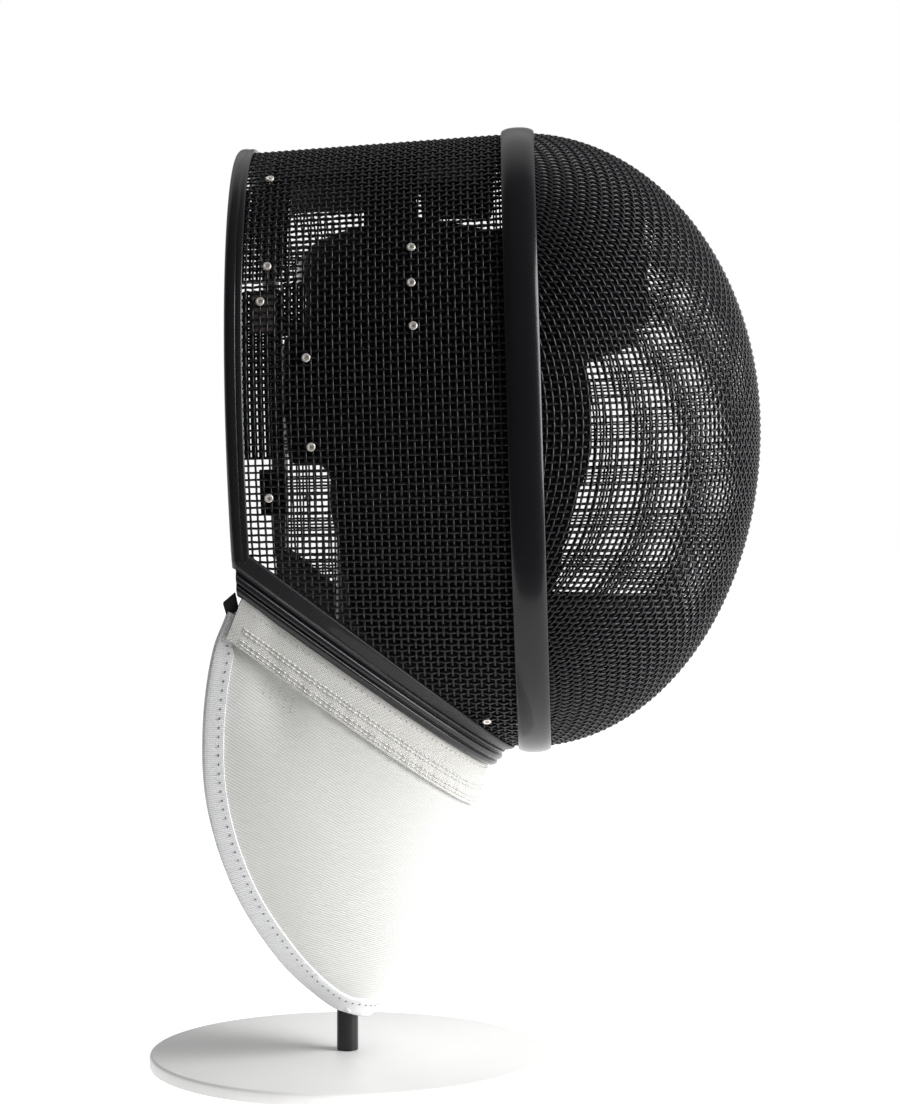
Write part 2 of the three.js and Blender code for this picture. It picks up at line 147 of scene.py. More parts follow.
def pick(piece):
    if bpy.context.object and bpy.context.object.mode != "OBJECT":
        bpy.ops.object.mode_set(mode="OBJECT")
    bpy.ops.object.select_all(action="DESELECT")
    piece.select_set(True)
    bpy.context.view_layer.objects.active = piece


def turnOutward(piece):
    pick(piece)
    bpy.ops.object.mode_set(mode="EDIT")
    bpy.ops.mesh.select_all(action="SELECT")
    bpy.ops.mesh.normals_make_consistent(inside=False)
    bpy.ops.object.mode_set(mode="OBJECT")


def applyModifier(piece, kind, **settings):
    pick(piece)
    modifier = piece.modifiers.new(kind.title(), kind)
    for key, value in settings.items():
        setattr(modifier, key, value)
    bpy.ops.object.modifier_apply(modifier=modifier.name)


def smoothShade(piece, angle=None):
    pick(piece)
    if angle is None:
        bpy.ops.object.shade_smooth()
    else:
        bpy.ops.object.shade_smooth_by_angle(angle=math.radians(angle))


# Skins rings of points, (stations, around, 3) in mask mm. joined closes the path on itself.
def sweptPiece(name, rings, joined=False):
    rings = toPart(rings)
    n, m = rings.shape[:2]
    run = runLength(rings.mean(axis=1), joined)
    sides = np.linalg.norm(np.roll(rings, -1, 1) - rings, axis=2)
    girth = np.concatenate([[0], np.cumsum(sides.mean(0))])
    faces, uv = [], []
    for r in range(n if joined else n - 1):
        a, b = r * m, ((r + 1) % n) * m
        for i in range(m):
            j = (i + 1) % m
            faces.append((a + i, a + j, b + j, b + i))
            uv += [(run[r], girth[i]), (run[r], girth[i + 1])]
            uv += [(run[r + 1], girth[i + 1]), (run[r + 1], girth[i])]
    if not joined:
        for first, place in ((0, run[0]), ((n - 1) * m, run[n - 1])):
            faces.append(tuple(range(first, first + m)))
            uv += [(place, girth[i]) for i in range(m)]
    piece = newPiece(name, rings.reshape(-1, 3), faces, uv)
    turnOutward(piece)
    return piece


# A cloth from a grid of points in mask mm, given its thickness by Solidify
def clothPiece(name, grid, thick):
    grid = toPart(grid)
    n, m = grid.shape[:2]
    u = runLength(grid[:, m // 2])
    v = runLength(grid[n // 2])
    faces, uv = [], []
    for r in range(n - 1):
        for i in range(m - 1):
            a = r * m + i
            faces.append((a, a + 1, a + m + 1, a + m))
            uv += [(u[r], v[i]), (u[r], v[i + 1]), (u[r + 1], v[i + 1]), (u[r + 1], v[i])]
    piece = newPiece(name, grid.reshape(-1, 3), faces, uv)
    applyModifier(piece, "SOLIDIFY", thickness=thick / 1000, offset=0.0)
    turnOutward(piece)
    return piece


# Rounds the corners of a closed profile by cutting each one off, near a quarter of the way along
def softened(profile, times=2, near=0.75):
    points = np.asarray(profile, float)
    for _ in range(times):
        after = np.roll(points, -1, axis=0)
        cut = np.stack([near * points + (1 - near) * after, (1 - near) * points + near * after], 1)
        points = cut.reshape(-1, points.shape[1])
    return points


# Tubes along lines in mask mm. outs gives the surface normal at each point.
def tubes(lines, outs, radius, sides=4):
    allPoints, allFaces, start = [], [], 0
    turns = 2 * np.pi * (np.arange(sides) + 0.5) / sides
    for line, out in zip(lines, outs):
        k = len(line)
        if k < 3:
            continue
        along = unit(np.gradient(line, axis=0))
        side = unit(np.cross(along, out))
        lift = np.cross(side, along)
        size = np.broadcast_to(radius, (k,))[:, None, None]
        ring = line[:, None] + size * (np.cos(turns)[None, :, None] * lift[:, None]
                                       + np.sin(turns)[None, :, None] * side[:, None])
        allPoints.append(ring.reshape(-1, 3))
        i = start + np.arange(k - 1)[:, None] * sides + np.arange(sides)[None]
        j = start + np.arange(k - 1)[:, None] * sides + (np.arange(sides)[None] + 1) % sides
        allFaces.append(np.stack([i, j, j + sides, i + sides], -1).reshape(-1, 4).tolist())
        ends = [list(range(start + sides - 1, start - 1, -1)),
                list(range(start + (k - 1) * sides, start + k * sides))]
        allFaces.append(ends)
        start += k * sides
    return np.concatenate(allPoints), [face for faces in allFaces for face in faces]


# One piece from several sets of tubes, each its points and faces
def joinedTubes(name, sets):
    allPoints, allFaces, start = [], [], 0
    for points, faces in sets:
        allPoints.append(points)
        allFaces += [[corner + start for corner in face] for face in faces]
        start += len(points)
    return newPiece(name, toPart(np.concatenate(allPoints)), allFaces)


# Shader maths

class Shade:
    def __init__(self, tree, socket=None):
        self.tree, self.socket = tree, socket

    def node(self, kind, settings=None, sockets=None, out=0):
        made = self.tree.nodes.new(kind)
        for key, value in (settings or {}).items():
            setattr(made, key, value)
        for key, value in (sockets or {}).items():
            if isinstance(value, Shade):
                self.tree.links.new(value.socket, made.inputs[key])
            else:
                made.inputs[key].default_value = value
        return Shade(self.tree, made.outputs[out])

    def sum(self, operation, first, second):
        return self.node("ShaderNodeMath", {"operation": operation}, {0: first, 1: second})

    def __add__(self, other):
        return self.sum("ADD", self, other)

    def __radd__(self, other):
        return self.sum("ADD", other, self)

    def __rsub__(self, other):
        return self.sum("SUBTRACT", other, self)

    def __mul__(self, other):
        return self.sum("MULTIPLY", self, other)

    def __gt__(self, other):
        return self.sum("GREATER_THAN", self, other)

    def __lt__(self, other):
        return self.sum("LESS_THAN", self, other)


def newFinish(name, **constants):
    finish = bpy.data.materials.new(name)
    finish.use_nodes = True
    tree = finish.node_tree
    shader = tree.nodes["Principled BSDF"]
    for key, value in constants.items():
        shader.inputs[key.replace("_", " ")].default_value = value
    return finish, shader, Shade(tree)


def feed(shade, shader, **links):
    for key, value in links.items():
        shade.tree.links.new(value.socket, shader.inputs[key.replace("_", " ")])


def objectPlace(shade):
    return shade.node("ShaderNodeTexCoord", out=3)


def clothPlace(shade):
    place = shade.node("ShaderNodeUVMap", {"uv_map": "cloth"})
    split = shade.node("ShaderNodeSeparateXYZ", None, {0: place}).socket.node
    return Shade(shade.tree, split.outputs[0]), Shade(shade.tree, split.outputs[1])


def noiseAt(shade, place, scale, detail=3.0, rough=0.55):
    return shade.node("ShaderNodeTexNoise", None,
                      {"Vector": place, "Scale": scale, "Detail": detail, "Roughness": rough})


def drawnOut(shade, place, scale):
    return shade.node("ShaderNodeMapping", None, {"Vector": place, "Scale": scale})


def wave(shade, value, pitch):
    return shade.node("ShaderNodeMath", {"operation": "SINE"}, {0: value * (2 * math.pi / pitch)})


def mixColour(shade, amount, first, second):
    mix = shade.node("ShaderNodeMix", {"data_type": "RGBA"}, None, 2)
    for slot, value in ((0, amount), (6, first), (7, second)):
        if isinstance(value, Shade):
            shade.tree.links.new(value.socket, mix.socket.node.inputs[slot])
        else:
            mix.socket.node.inputs[slot].default_value = value if slot == 0 else (*value, 1)
    return mix


def bumped(shade, shader, height, distance, strength=1.0):
    sockets = {"Height": height, "Distance": distance, "Strength": strength}
    bump = shade.node("ShaderNodeBump", None, sockets)
    shade.tree.links.new(bump.socket, shader.inputs["Normal"])


# In each look, rough is a start and what the noise adds, and bump is a depth in metres and a strength
wireLook = {"dark": (0.005, 0.005, 0.006), "worn": (0.024, 0.024, 0.027), "patch": 60, "grain": 900,
            "mix": (0.6, 0.4), "rough": (0.22, 0.2), "bump": (0.00005, 1.0)}


def coatedWire():
    finish, shader, s = newFinish("coatedWire", Specular_IOR_Level=0.25)
    place = objectPlace(s)
    patch = noiseAt(s, place, wireLook["patch"])
    fine = noiseAt(s, place, wireLook["grain"])
    wear = patch * wireLook["mix"][0] + fine * wireLook["mix"][1]
    start, gain = wireLook["rough"]
    feed(s, shader, Base_Color=mixColour(s, wear, wireLook["dark"], wireLook["worn"]),
         Roughness=start + fine * gain)
    bumped(s, shader, fine, *wireLook["bump"])
    return finish


stripLook = {"dark": (0.004, 0.004, 0.005), "pale": (0.010, 0.010, 0.013), "broad": 14,
             "scuff": (300, 300, 30), "scuffShare": 0.02, "rough": (0.17, 0.14), "bump": (0.0012, 0.5)}


def glossStrip():
    finish, shader, s = newFinish("glossStrip", Coat_Weight=0.15, Coat_Roughness=0.1, Specular_IOR_Level=0.28)
    place = objectPlace(s)
    broad = noiseAt(s, place, stripLook["broad"], 2)
    scuff = noiseAt(s, drawnOut(s, place, stripLook["scuff"]), 3, 4, 0.7)
    start, gain = stripLook["rough"]
    feed(s, shader, Base_Color=mixColour(s, broad, stripLook["dark"], stripLook["pale"]),
         Roughness=start + scuff * gain)
    bumped(s, shader, broad + scuff * stripLook["scuffShare"], *stripLook["bump"])
    return finish


trimLook = {"dark": (0.005, 0.005, 0.006), "pale": (0.014, 0.014, 0.016), "grain": 1600, "broad": 40,
            "rough": (0.17, 0.12, 0.05), "ribRough": 0.22, "ribFuzz": (500, 1.5), "bump": (0.00008, 0.7)}


# flange is the width of the ribbed cloth that starts the profile; the rest is smooth rubber
def blackTrim(name, flange=0.0, ribPitch=0.0):
    finish, shader, s = newFinish(name, Specular_IOR_Level=0.26, Coat_Weight=0.25, Coat_Roughness=0.05)
    place = objectPlace(s)
    fine = noiseAt(s, place, trimLook["grain"])
    broad = noiseAt(s, place, trimLook["broad"])
    height = fine * 0.3
    start, broadGain, fineGain = trimLook["rough"]
    rough = start + broad * broadGain + fine * fineGain
    if flange:
        u, v = clothPlace(s)
        ribbed = v < flange
        fuzzScale, fuzzShare = trimLook["ribFuzz"]
        height = height + ribbed * (wave(s, u, ribPitch) + noiseAt(s, place, fuzzScale) * fuzzShare)
        rough = rough + ribbed * trimLook["ribRough"]
    shade = broad * 0.5 + fine * 0.5
    feed(s, shader, Base_Color=mixColour(s, shade, trimLook["dark"], trimLook["pale"]), Roughness=rough)
    bumped(s, shader, height, *trimLook["bump"])
    return finish


# Plain weave from two crossing waves on the cloth's own map
def wovenHeight(s, u, v, pitchU, pitchV):
    warp = wave(s, u, pitchU)
    weft = wave(s, v, pitchV)
    over = wave(s, u, 2 * pitchU) * wave(s, v, 2 * pitchV) > 0
    return over * (warp * 0.5 + 0.5) + (1 - over) * (weft * 0.5 + 0.5)


# Webbing and cloth: pitch is the weave's along and across, depth its bump, and ribShare turns the plain weave
# into ribs that follow each other along the map's first direction
clothLooks = {
    "strap": {"name": "blackWebbing", "thread": (0.018, 0.018, 0.020), "shadow": (0.004, 0.004, 0.005),
              "pitch": (0.0011, 0.0016), "rough": 0.7, "depth": 0.0002, "sheen": 0.05},
    "pale": {"name": "paleWebbing", "thread": (0.62, 0.58, 0.50), "shadow": (0.36, 0.33, 0.28),
             "pitch": (0.0011, 0.0016), "rough": 0.8, "depth": 0.0002},
    "panel": {"name": "bibCloth", "thread": (0.69, 0.69, 0.67), "shadow": (0.39, 0.39, 0.375),
              "pitch": (0.0009, 0.0007), "rough": 0.88, "depth": 0.00014, "ribShare": 0.7},
    "band": {"name": "bandCloth", "thread": (0.69, 0.685, 0.655), "shadow": (0.39, 0.385, 0.365),
             "pitch": (0.0009, 0.0009), "rough": 0.88, "depth": 0.00018, "ribShare": 0.2},
    "tape": {"name": "hemTape", "thread": (0.84, 0.84, 0.85), "shadow": (0.50, 0.50, 0.51),
             "pitch": (0.0009, 0.0012), "rough": 0.85, "depth": 0.0002, "ribShare": 0.8},
}
clothGrain = {"broad": 18, "fuzz": 2600, "slub": (120, 120, 900), "mix": (0.5, 0.2, 0.15, 0.15),
              "fuzzRough": 0.2, "fuzzHeight": 0.35, "strength": 0.8}


def wovenFinish(name, thread, shadow, pitch, rough, depth, sheen=0.15, ribShare=0.0):
    finish, shader, s = newFinish(name, Sheen_Weight=sheen, Sheen_Roughness=0.5, Specular_IOR_Level=0.2)
    u, v = clothPlace(s)
    place = objectPlace(s)
    broad = noiseAt(s, place, clothGrain["broad"], 4)
    fuzz = noiseAt(s, place, clothGrain["fuzz"], 2)
    slub = noiseAt(s, drawnOut(s, place, clothGrain["slub"]), 1, 2)
    rib = wave(s, u, pitch[0]) * 0.5 + 0.5
    height = wovenHeight(s, u, v, *pitch) * (1 - ribShare) + rib * ribShare
    weaveMix, fuzzMix, broadMix, slubMix = clothGrain["mix"]
    shade = height * weaveMix + fuzz * fuzzMix + broad * broadMix + slub * slubMix
    feed(s, shader, Base_Color=mixColour(s, shade, shadow, thread),
         Roughness=rough - 0.12 + fuzz * clothGrain["fuzzRough"])
    bumped(s, shader, height + fuzz * clothGrain["fuzzHeight"], depth, clothGrain["strength"])
    return finish


# The needle holes' grey is painted shade: it stands for the shadow in the dimples the needle leaves, and the
# keeper's marks take it too
threadLooks = {
    "thread": {"name": "whiteThread", "pale": (0.80, 0.80, 0.78), "dark": (0.55, 0.55, 0.53)},
    "darkThread": {"name": "greyThread", "pale": (0.16, 0.16, 0.17), "dark": (0.06, 0.06, 0.065)},
    "needleHoleShade": {"name": "needleHoleShade", "pale": (0.60, 0.59, 0.56), "dark": (0.42, 0.41, 0.39)},
}


def threadFinish(name, pale, dark):
    finish, shader, s = newFinish(name, Sheen_Weight=0.2, Specular_IOR_Level=0.35)
    place = objectPlace(s)
    twist = s.node("ShaderNodeTexWave", {"wave_type": "BANDS", "bands_direction": "DIAGONAL"},
                   {"Vector": place, "Scale": 900.0, "Distortion": 1.5})
    fibre = s.node("ShaderNodeTexNoise", None, {"Vector": place, "Scale": 700.0})
    feed(s, shader, Base_Color=mixColour(s, fibre, dark, pale), Roughness=0.5 + twist * 0.25)
    bumped(s, shader, twist, 0.0001, 0.6)
    return finish


padLook = {"thread": (0.016, 0.016, 0.018), "shadow": (0.004, 0.004, 0.005), "knit": 0.0016, "broad": 25,
           "fuzz": 1800, "mix": (0.6, 0.3, 0.1), "rough": (0.8, 0.15), "bump": (0.0004, 0.7)}


def padCloth():
    finish, shader, s = newFinish("padCloth", Sheen_Weight=0.08, Sheen_Roughness=0.4, Specular_IOR_Level=0.15)
    place = objectPlace(s)
    cells = {"Vector": place, "Scale": 1 / padLook["knit"], "Randomness": 0.35}
    knit = 1 - s.node("ShaderNodeTexVoronoi", None, cells)
    broad = noiseAt(s, place, padLook["broad"], 4)
    fuzz = noiseAt(s, place, padLook["fuzz"], 2)
    knitMix, broadMix, fuzzMix = padLook["mix"]
    shade = knit * knitMix + broad * broadMix + fuzz * fuzzMix
    start, gain = padLook["rough"]
    feed(s, shader, Base_Color=mixColour(s, shade, padLook["shadow"], padLook["thread"]),
         Roughness=start + fuzz * gain)
    bumped(s, shader, knit + fuzz * 0.4, *padLook["bump"])
    return finish


# Finishes with one noise for colour and roughness, and a finer one under the bump where peel gives it
plainLooks = {
    "eyelet": {"name": "brightEyelet", "dark": (0.70, 0.66, 0.60), "pale": (0.95, 0.92, 0.86),
               "noise": (1200, 3), "rough": (0.14, 0.2), "bump": (0.00006, 0.5), "Metallic": 0.5},
    "base": {"name": "whiteBase", "dark": (0.90, 0.895, 0.885), "pale": (0.95, 0.948, 0.94), "noise": (30, 5),
             "peel": (420, 2), "rough": (0.38, 0.12), "bump": (0.00006, 0.4), "Coat_Weight": 0.2,
             "Coat_Roughness": 0.3},
    "pole": {"name": "blackPole", "dark": (0.006, 0.006, 0.007), "pale": (0.018, 0.018, 0.02),
             "noise": (3, 3), "drawn": (400, 400, 12), "rough": (0.16, 0.14), "bump": (0.00004, 0.4),
             "Coat_Weight": 0.12, "Coat_Roughness": 0.08, "Specular_IOR_Level": 0.3},
}


def plainFinish(name, dark, pale, noise, rough, bump, drawn=None, peel=None, **constants):
    finish, shader, s = newFinish(name, **constants)
    place = objectPlace(s)
    wear = noiseAt(s, drawnOut(s, place, drawn) if drawn else place, *noise)
    start, gain = rough
    feed(s, shader, Base_Color=mixColour(s, wear, dark, pale), Roughness=start + wear * gain)
    bumped(s, shader, noiseAt(s, place, *peel) if peel else wear, *bump)
    return finish


def dressed(piece, finish, nodes=(), angle=None):
    piece.data.materials.clear()
    piece.data.materials.append(finish)
    smoothShade(piece, angle)
    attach(piece, "root")
    if nodes:
        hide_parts(*nodes)
    return piece


finishes = {
    "wire": coatedWire(),
    "strip": glossStrip(),
    "trim": blackTrim("blackTrim"),
    "neckTrim": blackTrim("ribbedTrim", 0.0088, 0.0011),
    "pad": padCloth(),
}
for make, looks in ((wovenFinish, clothLooks), (threadFinish, threadLooks), (plainFinish, plainLooks)):
    finishes.update({key: make(**look) for key, look in looks.items()})
print("finishes made:", len(finishes))

# Woven wire: a net of equal cells over the dome from its front point, and hoops and lines round the sides. A
# quarter of the net has cells each way and grows until behind. The hoops begin at first, and both meshes run
# on past their edges, under the trims.
wireWeave = {"pitch": 3.12, "radius": 0.62, "faceRadius": 0.6, "rise": 0.5, "inset": 1.0, "sides": 4,
             "cells": 92, "behind": -4.0, "first": -0.6, "past": 1.5}


def domeAxes(points):
    inset = wireWeave["inset"]
    tall = np.where(points[..., 2] > 0, maskForm["crown"], maskForm["chin"]) - inset
    wide = np.full_like(tall, maskForm["halfWidth"] - inset)
    deep = np.full_like(tall, maskForm["dome"] - inset)
    return np.stack([deep, wide, tall], -1)


def domeOff(points):
    return ((points / domeAxes(points)) ** 2).sum(-1) - 1


def domeNormal(points):
    return unit(points / domeAxes(points) ** 2)


def onDome(points):
    for _ in range(3):
        slope = 2 * points / domeAxes(points) ** 2
        points = points - slope * (domeOff(points) / (slope ** 2).sum(-1))[..., None]
    return points


# The main wires through the front point, walked in equal chords in one plane
def mainWire(direction, count):
    pitch = wireWeave["pitch"]
    front = np.array([maskForm["dome"] - wireWeave["inset"], 0.0, 0.0])
    line, heading = [front], np.array(direction, float)
    for _ in range(count):
        here = line[-1]
        step = onDome((here + heading * pitch)[None])[0]
        for _ in range(4):
            step = onDome((here + unit(step - here) * pitch)[None])[0]
        heading = unit(step - here)
        line.append(step)
    return np.array(line)


# One quarter of the net: each new knot is a pitch from its two neighbours, on the dome
def netQuarter(across, upward, count):
    pitch = wireWeave["pitch"]
    net = np.full((count + 1, count + 1, 3), np.nan)
    net[:, 0] = mainWire(across, count)
    net[0, :] = mainWire(upward, count)
    for total in range(2, 2 * count + 1):
        i = np.arange(max(1, total - count), min(count, total - 1) + 1)
        j = total - i
        a, b, c = net[i - 1, j], net[i, j - 1], net[i - 1, j - 1]
        good = ~np.isnan(a + b + c).any(-1)
        good &= np.maximum(a[:, 0], b[:, 0]) > wireWeave["behind"]
        i, j, a, b, c = i[good], j[good], a[good], b[good], c[good]
        if not len(i):
            continue
        middle, gap = (a + b) / 2, b - a
        half = np.linalg.norm(gap, axis=-1) / 2
        reach = np.sqrt(np.maximum(pitch ** 2 - half ** 2, 1e-6))
        chord = unit(gap)
        ahead = middle - c
        ahead = unit(ahead - chord * (ahead * chord).sum(-1)[:, None])
        lift = np.cross(chord, ahead)
        lift *= np.sign((lift * domeNormal(middle)).sum(-1))[:, None]
        turn = np.zeros(len(i))
        for _ in range(8):
            point = middle + reach[:, None] * (np.cos(turn)[:, None] * ahead + np.sin(turn)[:, None] * lift)
            swing = reach[:, None] * (-np.sin(turn)[:, None] * ahead + np.cos(turn)[:, None] * lift)
            slope = (2 * point / domeAxes(point) ** 2 * swing).sum(-1)
            turn = turn - np.clip(domeOff(point) / np.where(np.abs(slope) < 1e-9, 1e-9, slope), -0.4, 0.4)
        point = middle + reach[:, None] * (np.cos(turn)[:, None] * ahead + np.sin(turn)[:, None] * lift)
        kept = np.abs(domeOff(point)) < 1e-4
        net[i[kept], j[kept]] = point[kept]
    return net


def checker(grid):
    return (-1.0) ** np.add.outer(np.arange(grid.shape[0]), np.arange(grid.shape[1]))


# Splits each row of knots where it leaves the mesh, adds the points between, and waves it over and under
def wovenLines(rows, signs, normalOf, outside):
    lines, outs = [], []
    for knots, sign in zip(rows, signs):
        kept = ~(np.isnan(knots[:, 0]) | outside(knots))
        ends = np.flatnonzero(np.diff(np.concatenate([[0], kept, [0]])))
        for first, last in zip(ends[::2], ends[1::2]):
            if last - first < 3:
                continue
            run = knots[first:last]
            fine = np.empty((2 * len(run) - 1, 3))
            fine[::2] = run
            fine[1::2] = (run[1:] + run[:-1]) / 2
            out = normalOf(fine)
            rise = np.zeros(len(fine))
            rise[::2] = sign[first:last] * wireWeave["rise"]
            lines.append(fine + out * rise[:, None])
            outs.append(out)
    return lines, outs


def wirePiece(name, rows, signs, normalOf, outside, radius, node):
    lines, outs = wovenLines(rows, signs, normalOf, outside)
    points, faces = tubes(lines, outs, radius, wireWeave["sides"])
    dressed(newPiece(name, toPart(points), faces), finishes["wire"], [node])
    print(name, len(lines), "wires", sum(len(face) - 2 for face in faces), "triangles")


def faceNet():
    count = wireWeave["cells"]
    whole = np.full((2 * count + 1, 2 * count + 1, 3), np.nan)
    for across in (1, -1):
        for upward in (1, -1):
            quarter = netQuarter((0, across, 0), (0, 0, upward), count)
            i = count + across * np.arange(count + 1)
            j = count + upward * np.arange(count + 1)
            whole[np.ix_(i, j)] = quarter
    return whole


def pastDome(points):
    return points[:, 0] < -wireWeave["past"]


net = faceNet()
over = checker(net)
for name, rows, signs in (("faceWiresAcross", np.swapaxes(net, 0, 1), over.T),
                          ("faceWiresUpright", net, -over)):
    wirePiece(name, rows, signs, domeNormal, pastDome, wireWeave["faceRadius"], "face_mesh")


# Angles of the lines along one side, from crown to chin
def sideAngles():
    pitch, inset = wireWeave["pitch"], wireWeave["inset"]
    dense = np.linspace(0, np.pi, 4001)
    girth = runLength(sectionPoint(0.0, dense, -inset))
    half = int(girth[-1] / pitch)
    return np.interp(np.arange(half + 1) * girth[-1] / half, girth, dense)


def sideWires():
    angles = np.concatenate([-ringAngles[:0:-1], ringAngles[:-1]])  # from chin over the crown and down
    stations = np.arange(wireWeave["first"], maskForm["back"] - 0.1, -wireWeave["pitch"])
    return sectionPoint(stations[:, None], angles[None, :], -wireWeave["inset"])


def sideNormal(points):
    scale = scaleAt(points[:, 0])
    wide = maskForm["halfWidth"] * scale
    tall = np.where(points[:, 2] > 0, maskForm["crown"], maskForm["chin"]) * scale
    return unit(np.stack([np.zeros(len(points)), points[:, 1] / wide ** 2, points[:, 2] / tall ** 2], -1))


def underNeck(points):
    return points[:, 2] < maskForm["neckLevel"] + maskForm["neckSlope"] * points[:, 0] - wireWeave["past"]


ringAngles = sideAngles()
grid = sideWires()
over = checker(grid)
closed = [np.concatenate([rows, rows[:, :1]], 1) for rows in (grid, over)]  # a whole hoop meets itself
for name, rows, signs in (("sideWiresHoops", *closed), ("sideWiresAlong", np.swapaxes(grid, 0, 1), -over.T)):
    wirePiece(name, rows, signs, sideNormal, underNeck, wireWeave["radius"], "side_mesh")

# A second layer of wire inside the right back edge, in patches: the reach along the mask and in height, how
# far the wires are set off from the outer layer in pitches, the upright wires to a pitch, and the depth
backNet = {"radius": 0.74, "middle": -110, "columns": 50,
           "patches": [((-121.0, -99.5), (64.5, 112.0), (0.55, 0.5), 1, 3.6),
                       ((-103.5, -92.5), (40.0, 66.0), (0.415, 0.0), 2, 4.9),
                       ((-121.0, -103.5), (-15.5, 62.5), (0.415, 0.0), 2, 4.9)]}


def backNetTubes(reachX, reachZ, slip, share, inset):
    xs = wireWeave["first"] - wireWeave["pitch"] * (np.arange(backNet["columns"] * share) / share + slip[0])
    xs = xs[(xs > reachX[0]) & (xs < reachX[1])]
    high, low = (angleAtHeight(backNet["middle"], z) for z in reachZ)
    inner = ringAngles[(ringAngles > low) & (ringAngles < high)]
    angles = -(inner + slip[1] * (ringAngles[1] - ringAngles[0]))
    knots = sectionPoint(xs[:, None], angles[None, :], -inset)
    over = checker(knots)
    lines, outs = [], []
    for rows, signs in ((knots, over), (np.swapaxes(knots, 0, 1), -over.T)):
        moreLines, moreOuts = wovenLines(rows, signs, sideNormal, lambda points: np.zeros(len(points), bool))
        lines += moreLines
        outs += moreOuts
    return tubes(lines, outs, backNet["radius"], wireWeave["sides"])


backWires = joinedTubes("backNetRight", [backNetTubes(*patch) for patch in backNet["patches"]])
dressed(backWires, finishes["wire"])
print("back net laid")

# Strip over the joint of the two meshes: one convex loop
stripForm = {"half": [(2.2, 2.5), (5.3, 2.0), (7.5, 0.9), (7.5, 0.2)], "stations": 240}
profile = softened([(-x, out) for x, out in stripForm["half"][::-1]] + stripForm["half"])
angles = np.linspace(0, 2 * np.pi, stripForm["stations"], endpoint=False)
rings = np.stack([sectionPoint(0.0, angles, out) + np.array([x, 0, 0]) for x, out in profile], 1)
dressed(sweptPiece("centreStrip", rings, True), finishes["strip"], ["centre_strip"])
print("strip swept")

# Binding folded over the back edge, with a stitched line near its front
backForm = {"profile": [(-120.5, 0.1), (-120.5, 1.1), (-121.6, 1.6), (-122.9, 1.75), (-123.3, 1.35),
                        (-123.7, 1.75), (-125.4, 1.95), (-126.9, 1.8), (-128.2, 0.7), (-128.6, -0.6),
                        (-128.5, -2.2), (-127.4, -3.5), (-125.6, -3.9), (-121.5, -3.5), (-121.5, -2.0)],
            "endHeight": -60.0, "stations": 160}
profile = softened(backForm["profile"])
end = angleAtHeight(maskForm["back"], backForm["endHeight"])
angles = np.linspace(-end, end, backForm["stations"])
rings = np.stack([sectionPoint(x, angles, out) for x, out in profile], 1)
dressed(sweptPiece("backTrim", rings), finishes["trim"], ["back_trim"])
print("back trim swept")

# Rubber trim along the slanting edge. The lip lies on the wall; the body hangs below it. It is swept a little
# past endX and cut off there.
neckForm = {"lip": [(7.5, 0.3), (7.5, 1.6), (7.0, 2.2), (5.0, 2.6), (1.5, 3.0)],
            "body": [(0.3, 3.5), (0.6, 4.4), (1.6, 4.4), (2.0, 3.4), (2.5, 3.4), (2.9, 4.6), (3.7, 5.1),
                     (4.9, 5.1), (5.6, 4.6), (5.9, 3.7), (6.3, 3.7), (6.7, 4.6), (8.0, 4.8), (9.6, 3.6),
                     (10.5, 1.4), (10.4, -0.8), (8.6, -2.8), (4.0, -3.6), (0.0, -3.5)],
            "inside": [(4.5, -2.9), (4.5, -1.4)], "endX": -126.5, "past": 0.06, "stations": 220}
neckEnd = neckAngle(neckForm["endX"]) - neckForm["past"]
angles = np.linspace(neckEnd, 2 * np.pi - neckEnd, neckForm["stations"])
point, out, up, level = neckFrame(angles)
wall = lambda a, b: point + up * a + out * b
hang = lambda a, b: point + neckDown * a + level * b
corners = np.stack([wall(a, b) for a, b in neckForm["lip"]] + [hang(a, b) for a, b in neckForm["body"]]
                   + [wall(a, b) for a, b in neckForm["inside"]], 1)
rings = np.stack([softened(ring, 1) for ring in corners])
neckTrim = sweptPiece("neckTrim", rings)


# Cuts a piece off square behind an upright plane, in mask mm
def cutBehind(piece, x):
    pick(piece)
    bpy.ops.object.mode_set(mode="EDIT")
    bpy.ops.mesh.select_all(action="SELECT")
    place = toPart(np.array([x, 0.0, 0.0]))
    normal = turnToPart(np.array([-1.0, 0.0, 0.0]))
    bpy.ops.mesh.bisect(plane_co=place, plane_no=normal, use_fill=True, clear_outer=True)
    bpy.ops.object.mode_set(mode="OBJECT")


cutBehind(neckTrim, neckForm["endX"])
turnOutward(neckTrim)
dressed(neckTrim, finishes["neckTrim"], ["neck_trim"], 40)
print("neck trim swept")

# Bib: a cloth scoop of levels, each part of an ellipse from its front point back to the hem. Its top edge
# follows the trim, and the first easeRows levels come round to it. outward leads out of it, in x and z.
bibForm = {"front": [(-24.5, -156), (-28.5, -168), (-33, -181), (-41, -200), (-51, -220), (-61.5, -240),
                     (-72, -257), (-81.5, -271)],
           "hem": [(-127.5, 84.3, -73.5), (-131.7, 83.6, -83), (-137, 82.5, -95), (-143, 79, -127),
                   (-143.5, 72, -164), (-134, 59.5, -204), (-116, 42, -239), (-97, 20, -263)],
           "topX": -127.5, "drop": 11.6, "inset": 0.4, "easeRows": 2, "tuck": 5.0, "thick": 1.6,
           "margin": 0.012, "outward": (0.5, -0.2), "grid": (150, 260)}
bibEnd = neckAngle(bibForm["topX"] - bibForm["drop"] * neckDown[0])
bibLast = len(bibForm["hem"]) - 1.0


